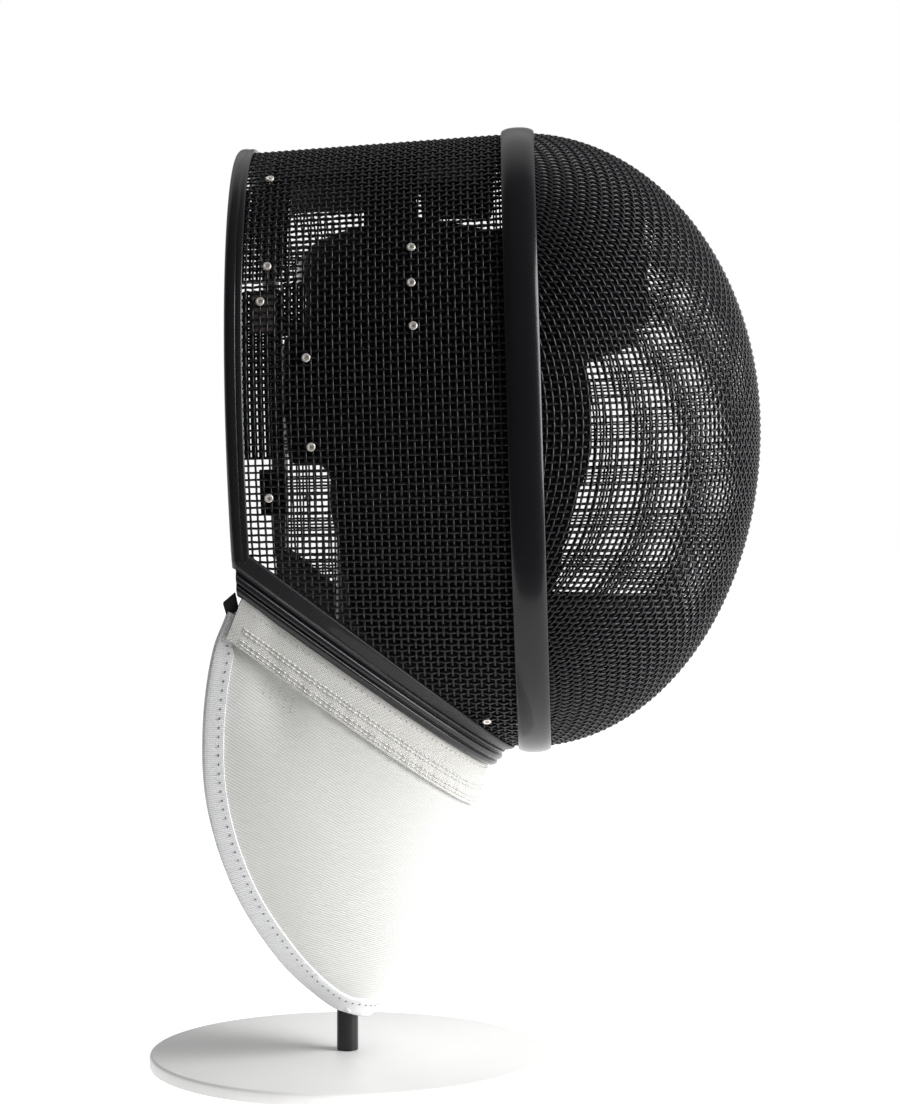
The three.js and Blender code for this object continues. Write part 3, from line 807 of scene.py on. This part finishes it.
# A smooth line through the given points, spaced by the root of each gap
def throughPoints(points, places):
    points = np.asarray(points, float)
    count = len(points)
    padded = np.concatenate([[2 * points[0] - points[1]], points, [2 * points[-1] - points[-2]]])
    place = np.clip(np.asarray(places, float), 0, count - 1)
    i = np.minimum(place.astype(int), count - 2)
    w = (place - i)[..., None]
    p0, p1, p2, p3 = (padded[i + k] for k in range(4))
    gap = lambda a, b: np.sqrt(np.linalg.norm(b - a, axis=-1))[..., None]
    d0, d1, d2 = gap(p0, p1), gap(p1, p2), gap(p2, p3)
    t1 = ((p1 - p0) / d0 - (p2 - p0) / (d0 + d1) + (p2 - p1) / d1) * d1
    t2 = ((p2 - p1) / d1 - (p3 - p1) / (d1 + d2) + (p3 - p2) / d2) * d1
    return p1 + w * (t1 + w * (-3 * p1 + 3 * p2 - 2 * t1 - t2 + w * (2 * p1 - 2 * p2 + t1 + t2)))


def bibLevel(row, angle):
    front = throughPoints([(x, 0, z) for x, z in bibForm["front"]], row)
    hem = throughPoints(bibForm["hem"], row)
    back = ((1 + np.cos(angle)) / (1 + math.cos(bibEnd)))[..., None]
    point = front + (hem * np.array([1, 0, 1]) - front) * back
    point[..., 1] = hem[..., 1] * np.sin(angle) / math.sin(bibEnd)
    return point


def bibPoint(row, angle):
    row, angle = spread(row, angle)
    edge, _, _, level = neckFrame(angle)
    edge = edge + neckDown * bibForm["drop"] - bibForm["inset"] * level
    t = np.minimum(row / bibForm["easeRows"], 1)
    ease = (1 - t) ** 2 * (1 + 2 * t)
    return bibLevel(row, angle) + (edge - bibLevel(np.zeros_like(row), angle)) * ease[..., None]


# How the cloth runs down and across at a place, for each row and each radian
def bibSlopes(row, angle):
    r0, r1 = np.maximum(row - smallStep, 0), np.minimum(row + smallStep, bibLast)
    down = (bibPoint(r1, angle) - bibPoint(r0, angle)) / (r1 - r0)[..., None]
    across = (bibPoint(row, angle + smallStep) - bibPoint(row, angle - smallStep)) / (2 * smallStep)
    return down, across


def bibOut(row, angle):
    row, angle = spread(row, angle)
    out = unit(np.cross(*bibSlopes(row, angle)))
    x, z = bibForm["outward"]
    outward = out[..., 0] * x + out[..., 2] * z + out[..., 1] * np.sin(angle)
    return np.where(outward[..., None] < 0, -out, out)


def bibOffset(row, angle, lift):
    row, angle, lift = spread(row, angle, lift)
    return bibPoint(row, angle) + bibOut(row, angle) * lift[..., None]


def bibAngles(margin, count):
    return np.linspace(bibEnd + margin, 2 * np.pi - bibEnd - margin, count)


def eased(value, low, high):
    t = np.clip((value - low) / (high - low), 0, 1)
    return t * t * (3 - 2 * t)


# The cloth's top edge carries on a little way up under the trim
def tucked(rows, angles, lift):
    grid = bibOffset(rows, angles, lift)
    return np.concatenate([grid[:1] - neckDown * bibForm["tuck"], grid])


# Soft waves of the hanging cloth, dying out at the band, the hem and the foot, and one dent drawn in below
# the band's right end. A wave has its rate round and down, its phase and its size.
bibWaves = {"waves": [(3.1, 0.7, 0.4, 0.5), (5.3, -1.1, 1.9, 0.3), (2.2, 1.7, 0.0, 0.35)], "swell": 1.1,
            "below": (1.6, 2.8), "foot": (6.2, 7.0), "edge": (0.1, 0.35),
            "dent": (2.15, 0.945), "dentSize": (0.42, 0.05), "dentDepth": 2.2, "dentTop": (1.3, 1.8)}


def bibWave(row, angle):
    turn = angle - np.pi
    inside = eased(row, *bibWaves["below"]) * (1 - eased(row, *bibWaves["foot"]))
    inside = inside * eased(np.pi - bibEnd - np.abs(turn), *bibWaves["edge"])
    swell = sum(np.sin(a * turn + b * row + phase) * size for a, b, phase, size in bibWaves["waves"])
    away = [(place - middle) / size for place, middle, size in
            zip((row, turn), bibWaves["dent"], bibWaves["dentSize"])]
    dent = np.exp(-(away[0] ** 2 + away[1] ** 2) / 2) * eased(row, *bibWaves["dentTop"])
    return swell * bibWaves["swell"] * inside - bibWaves["dentDepth"] * dent


rows = np.linspace(0, bibLast, bibForm["grid"][0])[:, None]
angles = bibAngles(bibForm["margin"], bibForm["grid"][1])[None, :]
panel = clothPiece("bibPanel", tucked(rows, angles, bibWave(rows, angles)), bibForm["thick"])
dressed(panel, finishes["panel"], ["bib_panel"], 50)

# A folded band along the top, a little puckered; its ends rise over the hem
bandForm = {"rows": (0.0, 1.5), "lift": 1.75, "endLift": 2.9, "endTurn": (0.05, 0.11), "thick": 1.3,
            "grid": (24, 300), "pucker": 0.12, "puckerRate": (95, 3), "puckerRows": (0.6, 1.2)}


def bandLift(angle):
    toEnd = np.pi - bibEnd - np.abs(angle - np.pi)
    rise = bandForm["endLift"] - bandForm["lift"]
    return bandForm["lift"] + rise * (1 - eased(toEnd, *bandForm["endTurn"]))


rows = np.linspace(*bandForm["rows"], bandForm["grid"][0])[:, None]
angles = bibAngles(bibForm["margin"], bandForm["grid"][1])[None, :]
roundRate, downRate = bandForm["puckerRate"]
pucker = bandForm["pucker"] * np.sin(angles * roundRate + downRate * rows)
pucker = pucker * eased(rows, *bandForm["puckerRows"])
band = clothPiece("bibBand", tucked(rows, angles, bandLift(angles) + pucker), bandForm["thick"])
dressed(band, finishes["band"], ["bib_band"], 50)

# Tape folded over the bib's edge, ribbed across, down one side, round the foot and up the other. shares are
# places across its outer face, from its inner edge to the fold.
hemForm = {"topRow": 0.63, "thick": 2.0, "round": 1.3, "wide": 8.2, "narrow": 5.2, "widens": 1.8,
           "ribPitch": 1.8, "ribRise": 0.05, "step": 0.45, "cornerRow": 6.75, "cornerTurn": 0.13,
           "edgeThin": 0.75, "shares": (1.0, 0.97, 0.75, 0.5, 0.25, 0.0), "fold": (0.35, 5)}


# Even places along a line of rows and angles on the bib
def evenStops(stops):
    run = runLength(bibPoint(stops[:, 0], stops[:, 1]))
    even = np.linspace(0, run[-1], int(run[-1] / hemForm["step"]) + 1)
    return np.stack([np.interp(even, run, stops[:, k]) for k in range(2)], 1), even


def hemStops():
    corner, turn = hemForm["cornerRow"], hemForm["cornerTurn"]
    turnIn = np.linspace(0, np.pi / 2, 24)[1:-1]
    left = [(row, bibEnd) for row in np.linspace(hemForm["topRow"], corner, 200)]
    left += [(corner + (bibLast - corner) * np.sin(t), bibEnd + turn * (1 - np.cos(t))) for t in turnIn]
    foot = [(bibLast, angle) for angle in bibAngles(turn, 80)]
    right = [(row, 2 * np.pi - angle) for row, angle in left[::-1]]
    return evenStops(np.array(left + foot + right))


def evened(values, width):
    return np.convolve(np.pad(values, width // 2, mode="edge"), np.ones(width) / width, "valid")


# The edge, its own direction, the way inward on the cloth, and the cloth's normal at each stop
def edgeFrame(stops):
    row, angle = stops[:, 0], stops[:, 1]
    edge = bibPoint(row, angle)
    smooth = lambda v: unit(np.stack([evened(v[:, k], 9) for k in range(3)], 1))
    along = smooth(unit(np.gradient(edge, axis=0)))
    out = smooth(bibOut(row, angle))
    inward = np.cross(out, along)
    centre = bibPoint(np.array([bibForm["easeRows"]]), np.array([np.pi]))[0]
    inward = unit(np.where(((centre - edge) * inward).sum(-1)[:, None] < 0, -inward, inward))
    return edge, along, inward, out


# The cloth's surface at a distance in from the edge, by stepping on it twice
def bibInward(stops, distance):
    row, angle = stops[:, 0], stops[:, 1]
    _, _, inward, _ = edgeFrame(stops)
    for _ in range(2):
        down, across = bibSlopes(row, angle)
        e, f, g = (down * down).sum(-1), (down * across).sum(-1), (across * across).sum(-1)
        p, q = (inward * down).sum(-1), (inward * across).sum(-1)
        det = e * g - f * f
        row = np.clip(row + distance / 2 * (g * p - f * q) / det, 0, bibLast)
        angle = angle + distance / 2 * (e * q - f * p) / det
    return row, angle


def edgeTape(name, stops, run):
    edge, _, inward, out = edgeFrame(stops)
    wide = evened(np.where(stops[:, 0] < hemForm["widens"], hemForm["narrow"], hemForm["wide"]), 15)
    rib = hemForm["ribRise"] * np.sin(2 * np.pi * run / hemForm["ribPitch"])
    across = []
    for share in hemForm["shares"]:
        row, angle = bibInward(stops, wide * share)
        lift = hemForm["thick"] * (hemForm["edgeThin"] if share == 1.0 else 1.0) + rib
        across.append((bibPoint(row, angle), bibOut(row, angle), lift))
    rings = [p + n * l[:, None] for p, n, l in across]
    margin, count = hemForm["fold"]
    for turn in np.linspace(margin, np.pi - margin, count):  # the fold round the edge
        rings.append(edge - inward * (hemForm["round"] * np.sin(turn))
                     + out * (np.cos(turn) * (hemForm["thick"] + rib))[:, None])
    rings += [p - n * l[:, None] for p, n, l in across[::-1]]
    return sweptPiece(name, np.stack(rings, 1))


stops, run = hemStops()
hem = edgeTape("bibHem", stops, run)
dressed(hem, finishes["tape"], ["bib_hem"], 60)

# A folded strap end pokes out at each top corner: four corners about a point of the edge, as mm out and down
cornerForm = {"row": 0.33, "reach": 0.2, "corners": [(1.0, -6.0), (4.4, 0.4), (-3.5, 1.0), (0.8, 5.2)],
              "thick": 2.6, "bevel": 0.0006}
for name, angle, node in (("cornerTabRight", 2 * np.pi - bibEnd, "corner_tab_right"),
                          ("cornerTabLeft", bibEnd, "corner_tab_left")):
    levels = np.linspace(cornerForm["row"] - cornerForm["reach"], cornerForm["row"] + cornerForm["reach"], 60)
    around, _ = evenStops(np.array([(row, angle) for row in levels]))
    edge, along, inward, _ = (value[len(around) // 2] for value in edgeFrame(around))
    along = along * np.sign(-along[2])
    top, outer, inner, foot = (edge - inward * a + along * b for a, b in cornerForm["corners"])
    share = np.linspace(0, 1, 9)
    near = top + (outer - top) * share[:, None]
    far = inner + (foot - inner) * share[:, None]
    tab = clothPiece(name, near[None] + (far - near)[None] * share[:, None, None], cornerForm["thick"])
    applyModifier(tab, "BEVEL", width=cornerForm["bevel"], segments=2, limit_method="ANGLE",
                  angle_limit=math.radians(40))
    dressed(tab, finishes["strap"], [node], 40)
print("bib panel, band and hem made")

# A stitch is a small bent capsule with its ends sunk in the cloth: its stations, and its girth and rise there
stitchForm = {"stations": (0.0, 0.18, 0.5, 0.82, 1.0), "girth": (0.45, 0.95, 1.0, 0.95, 0.45),
              "rise": (0.3, 0.75, 0.3), "sunk": 0.25, "start": 0.6, "sides": 5}


def stitchRow(line, out, pitch, length, radius, start=stitchForm["start"]):
    run = runLength(line)
    shape = np.array(stitchForm["stations"]) * length
    rise = [share * radius for share in stitchForm["rise"]]
    lift = np.array([-stitchForm["sunk"], *rise, -stitchForm["sunk"]])
    lines, outs = [], []
    for place in np.arange(start, run[-1] - length, pitch):
        point, normal = (np.stack([np.interp(place + shape, run, values[:, k]) for k in range(3)], 1)
                         for values in (line, out))
        normal = unit(normal)
        lines.append(point + normal * lift[:, None])
        outs.append(normal)
    return lines, outs, radius * np.array(stitchForm["girth"])


# A row of stitches on the bib, along places given as rows and angles, at a height over the cloth's middle
def bibStitches(level, angle, height, *sizes, side=1, **more):
    level, angle = spread(level, angle)
    return stitchRow(bibOffset(level, angle, side * height), side * bibOut(level, angle), *sizes, **more)


def stitchPiece(name, rowsOfStitches, finish):
    piece = joinedTubes(name, [tubes(*row, stitchForm["sides"]) for row in rowsOfStitches])
    print(name, sum(len(lines) for lines, _, _ in rowsOfStitches), "stitches")
    return dressed(piece, finish)


# A stitch or a hole has its pitch, length and radius
bandStitches = {"rows": (0.80, 0.94, 1.24, 1.37), "stitch": (2.9, 2.2, 0.34), "hole": (2.9, 0.7, 0.3),
                "holeStart": 2.85, "topRow": 0.1, "topHole": (3.3, 0.7, 0.3), "margin": 0.03}
angles = bibAngles(bandStitches["margin"], 600)
bandFace = bandLift(angles) + bandForm["thick"] / 2
# Each hole is a grey dot of painted shade, for the shadow in a needle's dimple
sewn, holeShades = [], []
for row in bandStitches["rows"]:
    sewn.append(bibStitches(row, angles, bandFace, *bandStitches["stitch"]))
    holeShades.append(bibStitches(row, angles, bandFace, *bandStitches["hole"], start=bandStitches["holeStart"]))
holeShades.append(bibStitches(bandStitches["topRow"], angles, bandFace, *bandStitches["topHole"]))

# A sewn-down keeper below the band's end and a bar across the tape at the foot
keeperForm = {"rows": (1.62, 2.16), "turns": (0.905, 0.978), "lines": 5, "stitch": (1.7, 0.5, 0.22)}
barForm = {"row": 6.93, "rowStep": 0.03, "turn": 0.3, "reach": 0.12, "bars": 3, "rise": 0.2, "start": 0.1,
           "stitch": (9.0, 2.6, 0.34)}
for side in (1, -1):
    for turn in np.linspace(*keeperForm["turns"], keeperForm["lines"]):
        level = np.linspace(*keeperForm["rows"], 30)
        angle = np.full_like(level, np.pi + side * turn)
        face = bibWave(level, angle) + bibForm["thick"] / 2
        # The keeper's marks are drawn in the same painted-shade grey as the needle holes
        holeShades.append(bibStitches(level, angle, face, *keeperForm["stitch"]))
for side in (1, -1):
    turns = np.linspace(barForm["turn"], barForm["turn"] + barForm["reach"], 9)
    angle = np.pi + side * (np.pi - bibEnd - turns)
    face = hemForm["thick"] + barForm["rise"]
    for step in range(barForm["bars"]):
        level = barForm["row"] - barForm["rowStep"] * step
        sewn.append(bibStitches(level, angle, face, *barForm["stitch"], start=barForm["start"]))
bandSewing = stitchPiece("bandStitches", sewn, finishes["thread"])
# Grey marks of painted shade, for the shadows in the needle dimples and at the keeper
bandHoleShades = stitchPiece("needleHoleShades", holeShades, finishes["needleHoleShade"])

hemStitches = {"inset": 5.9, "narrowInset": 3.9, "stitch": (4.15, 0.9, 0.3), "rise": 0.05}
inset = np.where(stops[:, 0] < hemForm["widens"], hemStitches["narrowInset"], hemStitches["inset"])
row, angle = bibInward(stops, inset)
face = hemForm["thick"] + hemStitches["rise"]
sewn = [bibStitches(row, angle, face, *hemStitches["stitch"], side=side) for side in (1, -1)]
hemSewing = stitchPiece("hemStitches", sewn, finishes["darkThread"])

# Webbing: a hoop inside the crown and two short tabs on the right
hoopForm = {"x": (-68, -50), "end": math.radians(70), "depth": 3.3, "thick": 1.8}
angles = np.linspace(-hoopForm["end"], hoopForm["end"], 120)[:, None]
across = np.linspace(*hoopForm["x"], 13)[None, :]
hoop = clothPiece("crownStrap", sectionPoint(across, angles, -hoopForm["depth"]), hoopForm["thick"])
dressed(hoop, finishes["strap"], ["crown_strap"], 50)

tabForm = {"low": ((-114.7, -103), (-38.5, -18.5)), "high": ((-117, -106), (42, 60)), "depth": 3.25,
           "thick": 1.5}
for kind, look, slot in (("low", "strap", "strap"), ("high", "pale", "pale_strap")):
    (x0, x1), (z0, z1) = tabForm[kind]
    ends = [-angleAtHeight((x0 + x1) / 2, z) for z in (z0, z1)]
    across, angles = np.linspace(x0, x1, 9)[None, :], np.linspace(*ends, 15)[:, None]
    tab = clothPiece(kind + "TabRight", sectionPoint(across, angles, -tabForm["depth"]), tabForm["thick"])
    dressed(tab, finishes[look], [kind + "_tab_right"], 50)
print("webbing made")

# Padding: a copy of each solid, remeshed, swollen a little, puffed out by pressure up to a cap, then smoothed
padForm = {"weld": 0.00002, "voxel": 0.003, "frames": 16, "pressure": 3.0, "swell": 0.0007, "cap": 0.0009,
           "smooth": 4, "lastSmooth": 2,
           "pads": {"linerPad": "liner", "browPad": "brow_pad", "chinPad": "chin_pad",
                    "crownPadBack": "crown_pad_back", "crownPadFront": "crown_pad_front"}}


def puffedPad(name, node):
    piece = bpy.data.objects.new(name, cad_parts[node].data.copy())
    bpy.context.collection.objects.link(piece)
    pick(piece)
    bpy.ops.object.mode_set(mode="EDIT")
    bpy.ops.mesh.select_all(action="SELECT")
    bpy.ops.mesh.remove_doubles(threshold=padForm["weld"])
    bpy.ops.object.mode_set(mode="OBJECT")
    applyModifier(piece, "REMESH", mode="VOXEL", voxel_size=padForm["voxel"])
    applyModifier(piece, "SMOOTH", factor=0.5, iterations=padForm["smooth"])
    applyModifier(piece, "DISPLACE", strength=padForm["swell"], mid_level=0.0)
    before = np.array([v.co for v in piece.data.vertices])
    cloth = piece.modifiers.new("Puff", "CLOTH")
    cloth.settings.use_pressure = True
    cloth.settings.uniform_pressure_force = padForm["pressure"]
    cloth.settings.effector_weights.gravity = 0
    cloth.point_cache.frame_end = padForm["frames"]
    for number in range(1, padForm["frames"] + 1):
        bpy.context.scene.frame_set(number)
    pick(piece)
    bpy.ops.object.modifier_apply(modifier="Puff")
    bpy.context.scene.frame_set(1)
    after = np.array([v.co for v in piece.data.vertices])
    move = after - before
    far = np.linalg.norm(move, axis=1, keepdims=True)
    after = before + move * np.minimum(1, padForm["cap"] / np.maximum(far, 1e-9))
    piece.data.vertices.foreach_set("co", after.ravel())
    applyModifier(piece, "SMOOTH", factor=0.5, iterations=padForm["lastSmooth"])
    dressed(piece, finishes["pad"], [node])
    print(name, len(piece.data.polygons), "faces")


for name, node in padForm["pads"].items():
    puffedPad(name, node)


# An upright cylinder between two heights, open for editing
def cylinder(name, sides, radius, low, high):
    bpy.ops.object.select_all(action="DESELECT")
    bpy.ops.mesh.primitive_cylinder_add(vertices=sides, radius=radius, depth=high - low,
                                        location=(0, 0, (low + high) / 2))
    piece = bpy.context.object
    piece.name = name
    bpy.ops.object.transform_apply(location=True, rotation=True, scale=True)
    bpy.ops.object.mode_set(mode="EDIT")
    return piece


def selectWhere(piece, kind, test):
    bpy.ops.mesh.select_mode(type=kind)
    bpy.ops.mesh.select_all(action="DESELECT")
    mesh = bmesh.from_edit_mesh(piece.data)
    for part in mesh.faces if kind == "FACE" else mesh.edges:
        part.select_set(test(part))
    bmesh.update_edit_mesh(piece.data)


# Eyelets: one is turned from a short cylinder, then set square to the mesh at each place. Sizes are in mm.
eyeletForm = {"sides": 16, "rim": 1.9, "heights": (0.2, 1.1), "lip": 0.42, "crown": 0.15, "hole": 0.85,
              "dish": 0.12, "bore": 2.6, "bevel": 0.16,
              "places": [(-110.5, 111.4), (-109.8, 69.9), (-112.7, 54.3), (-92.9, 29.2), (-91.7, -9.0),
                         (-110.7, -30.3), (-47.1, 76.2), (-47.2, 60.4), (-46.6, 41.5), (-21.0, -132.5)]}


def turnedEyelet():
    piece = cylinder("eyeletModel", eyeletForm["sides"], eyeletForm["rim"], *eyeletForm["heights"])
    selectWhere(piece, "FACE", lambda face: face.normal.z > 0.9)
    bpy.ops.mesh.inset(thickness=eyeletForm["lip"])
    bpy.ops.transform.translate(value=(0, 0, eyeletForm["crown"]))
    bpy.ops.mesh.inset(thickness=eyeletForm["rim"] - eyeletForm["hole"] - eyeletForm["lip"])
    bpy.ops.transform.translate(value=(0, 0, -eyeletForm["dish"]))
    bpy.ops.mesh.extrude_region_move(TRANSFORM_OT_translate={"value": (0, 0, -eyeletForm["bore"])})
    bpy.ops.object.mode_set(mode="OBJECT")
    applyModifier(piece, "BEVEL", width=eyeletForm["bevel"], segments=2, limit_method="ANGLE",
                  angle_limit=math.radians(30))
    return piece


model = turnedEyelet()
for side, sign in (("right", -1), ("left", 1)):
    copies = []
    for x, z in eyeletForm["places"]:
        angle = sign * angleAtHeight(x, z)
        seat = toPart(sectionPoint(x, angle))
        normal = turnToPart(sectionNormal(x, angle))
        turn = Vector(normal).to_track_quat("Z", "Y").to_matrix().to_4x4()
        copy = bpy.data.objects.new("eyelet", model.data.copy())
        copy.data.transform(Matrix.Translation(Vector(seat)) @ turn @ Matrix.Scale(0.001, 4))
        bpy.context.collection.objects.link(copy)
        copies.append(copy)
    bpy.ops.object.select_all(action="DESELECT")
    for copy in copies:
        copy.select_set(True)
    bpy.context.view_layer.objects.active = copies[0]
    bpy.ops.object.join()
    copies[0].name = "eyelets" + side.title()
    dressed(copies[0], finishes["eyelet"],
            ["eyelet_%s_%d" % (side, k + 1) for k in range(len(eyeletForm["places"]))], 35)
bpy.data.objects.remove(model)
print("eyelets set")

# Stand: a round plate, a slim pole and the rounded cap that the mask hangs on. Each disc has its finish, its
# node, its radius, heights and top bevel in metres, the bevel's segments, and the number of sides.
standForm = {"standBase": ("base", "stand_base", 0.092, (0.0, 0.006), (0.0015, 4), 96),
             "standPole": ("pole", "stand_pole", 0.005, (0.006, 0.3581), (0.0005, 2), 40),
             "standCap": ("pole", "stand_cap", 0.023, (0.3581, 0.3781), (0.008, 6), 64)}
footBevel = 0.0006
for name, (look, node, radius, (low, high), (topBevel, segments), sides) in standForm.items():
    disc = cylinder(name, sides, radius, low, high)
    selectWhere(disc, "EDGE", lambda edge: all(v.co.z > high - 1e-6 for v in edge.verts))
    bpy.ops.mesh.bevel(offset=topBevel, segments=segments, profile=0.5)
    selectWhere(disc, "EDGE", lambda edge: all(v.co.z < low + 1e-6 for v in edge.verts))
    bpy.ops.mesh.bevel(offset=min(topBevel, footBevel), segments=2, profile=0.5)
    bpy.ops.object.mode_set(mode="OBJECT")
    dressed(disc, finishes[look], [node], 35)
print("stand turned")


# A cloth's area: that of all its faces, halved because it has two sides
def clothArea(piece):
    return sum(face.area for face in piece.data.polygons) / 2


round(clothArea(panel), 4)
for piece in (panel, band, hoop):
    print(piece.name, "cloth area", round(clothArea(piece), 5))

# A floor that glows a little, cut short in front so that it doesn't flood the bib
floorForm = {"size": 12, "near": 0.30, "below": 0.0005, "dark": (0.88, 0.88, 0.875),
             "pale": (0.9, 0.9, 0.895), "grain": 3, "lit": 0.74}
bpy.ops.object.select_all(action="DESELECT")
floorPlace = (0, floorForm["size"] / 2 - floorForm["near"], -floorForm["below"])
bpy.ops.mesh.primitive_plane_add(size=floorForm["size"], location=floorPlace)
floor = bpy.context.object
floor.name = "floor"
floorFinish, shader, s = newFinish("paleFloor", Roughness=0.6, Emission_Color=(1, 1, 1, 1),
                                   Emission_Strength=floorForm["lit"])
grain = noiseAt(s, objectPlace(s), floorForm["grain"])
feed(s, shader, Base_Color=mixColour(s, grain, floorForm["dark"], floorForm["pale"]))
floor.data.materials.append(floorFinish)

# The studio: a white backdrop behind the mask and above it, a soft light to the right, and dim towards the
# camera. Each part has its strength and the bands where it comes up or dies out. The camera sees plain white.
studioForm = {"dim": 0.13, "right": (0.35, (0.55, 0.95)), "backdrop": (0.9, (0.0, 0.5), (0.1, 0.45)),
              "overhead": (0.6, (0.0, 0.4), (0.3, 0.7))}
world = bpy.data.worlds.new("studio")
bpy.context.scene.world = world
world.use_nodes = True
s = Shade(world.node_tree)
split = s.node("ShaderNodeSeparateXYZ", None, {0: s.node("ShaderNodeTexCoord", out=0)}).socket.node
eastward, inward, upward = (Shade(s.tree, split.outputs[k]) for k in range(3))


def lightBand(value, ends):
    return s.node("ShaderNodeMapRange", {"interpolation_type": "SMOOTHSTEP"},
                  {"Value": value, "From Min": ends[0], "From Max": ends[1]})


right, rightBand = studioForm["right"]
backdrop, backBand, lowBand = studioForm["backdrop"]
overhead, behindBand, highBand = studioForm["overhead"]
glow = (studioForm["dim"] + lightBand(eastward, rightBand) * right
        + lightBand(inward, backBand) * (1 - lightBand(upward, lowBand)) * backdrop
        + lightBand(upward, highBand) * lightBand(inward, behindBand) * overhead)
seen = s.node("ShaderNodeLightPath", out=0)
background = world.node_tree.nodes["Background"]
background.inputs[0].default_value = (1, 1, 1, 1)
world.node_tree.links.new((seen + (1 - seen) * glow).socket, background.inputs[1])


def aimed(name, data, place, aim):
    made = bpy.data.objects.new(name, data)
    made.location = place
    made.rotation_euler = (Vector(aim) - Vector(place)).to_track_quat("-Z", "Y").to_euler()
    bpy.context.collection.objects.link(made)
    return made


keyForm = {"place": (1.62, -0.42, 0.72), "aim": (0.06, 0, 0.18), "size": (1.0, 1.5), "power": 55}
light = bpy.data.lights.new("key", "AREA")
light.shape, light.energy = "RECTANGLE", keyForm["power"]
light.size, light.size_y = keyForm["size"]
aimed("key", light, keyForm["place"], keyForm["aim"])

cameraForm = {"place": (0.089745, -1.212, 0.262725), "aim": (0.047895, 0.0, 0.238545), "lens": 85.06,
              "sensor": 36.0}
lens = bpy.data.cameras.new("photoCamera")
lens.lens, lens.sensor_width, lens.sensor_fit = cameraForm["lens"], cameraForm["sensor"], "AUTO"
bpy.context.scene.camera = aimed("photoCamera", lens, cameraForm["place"], cameraForm["aim"])
bpy.context.scene.view_settings.view_transform = "Standard"
print("stage set")
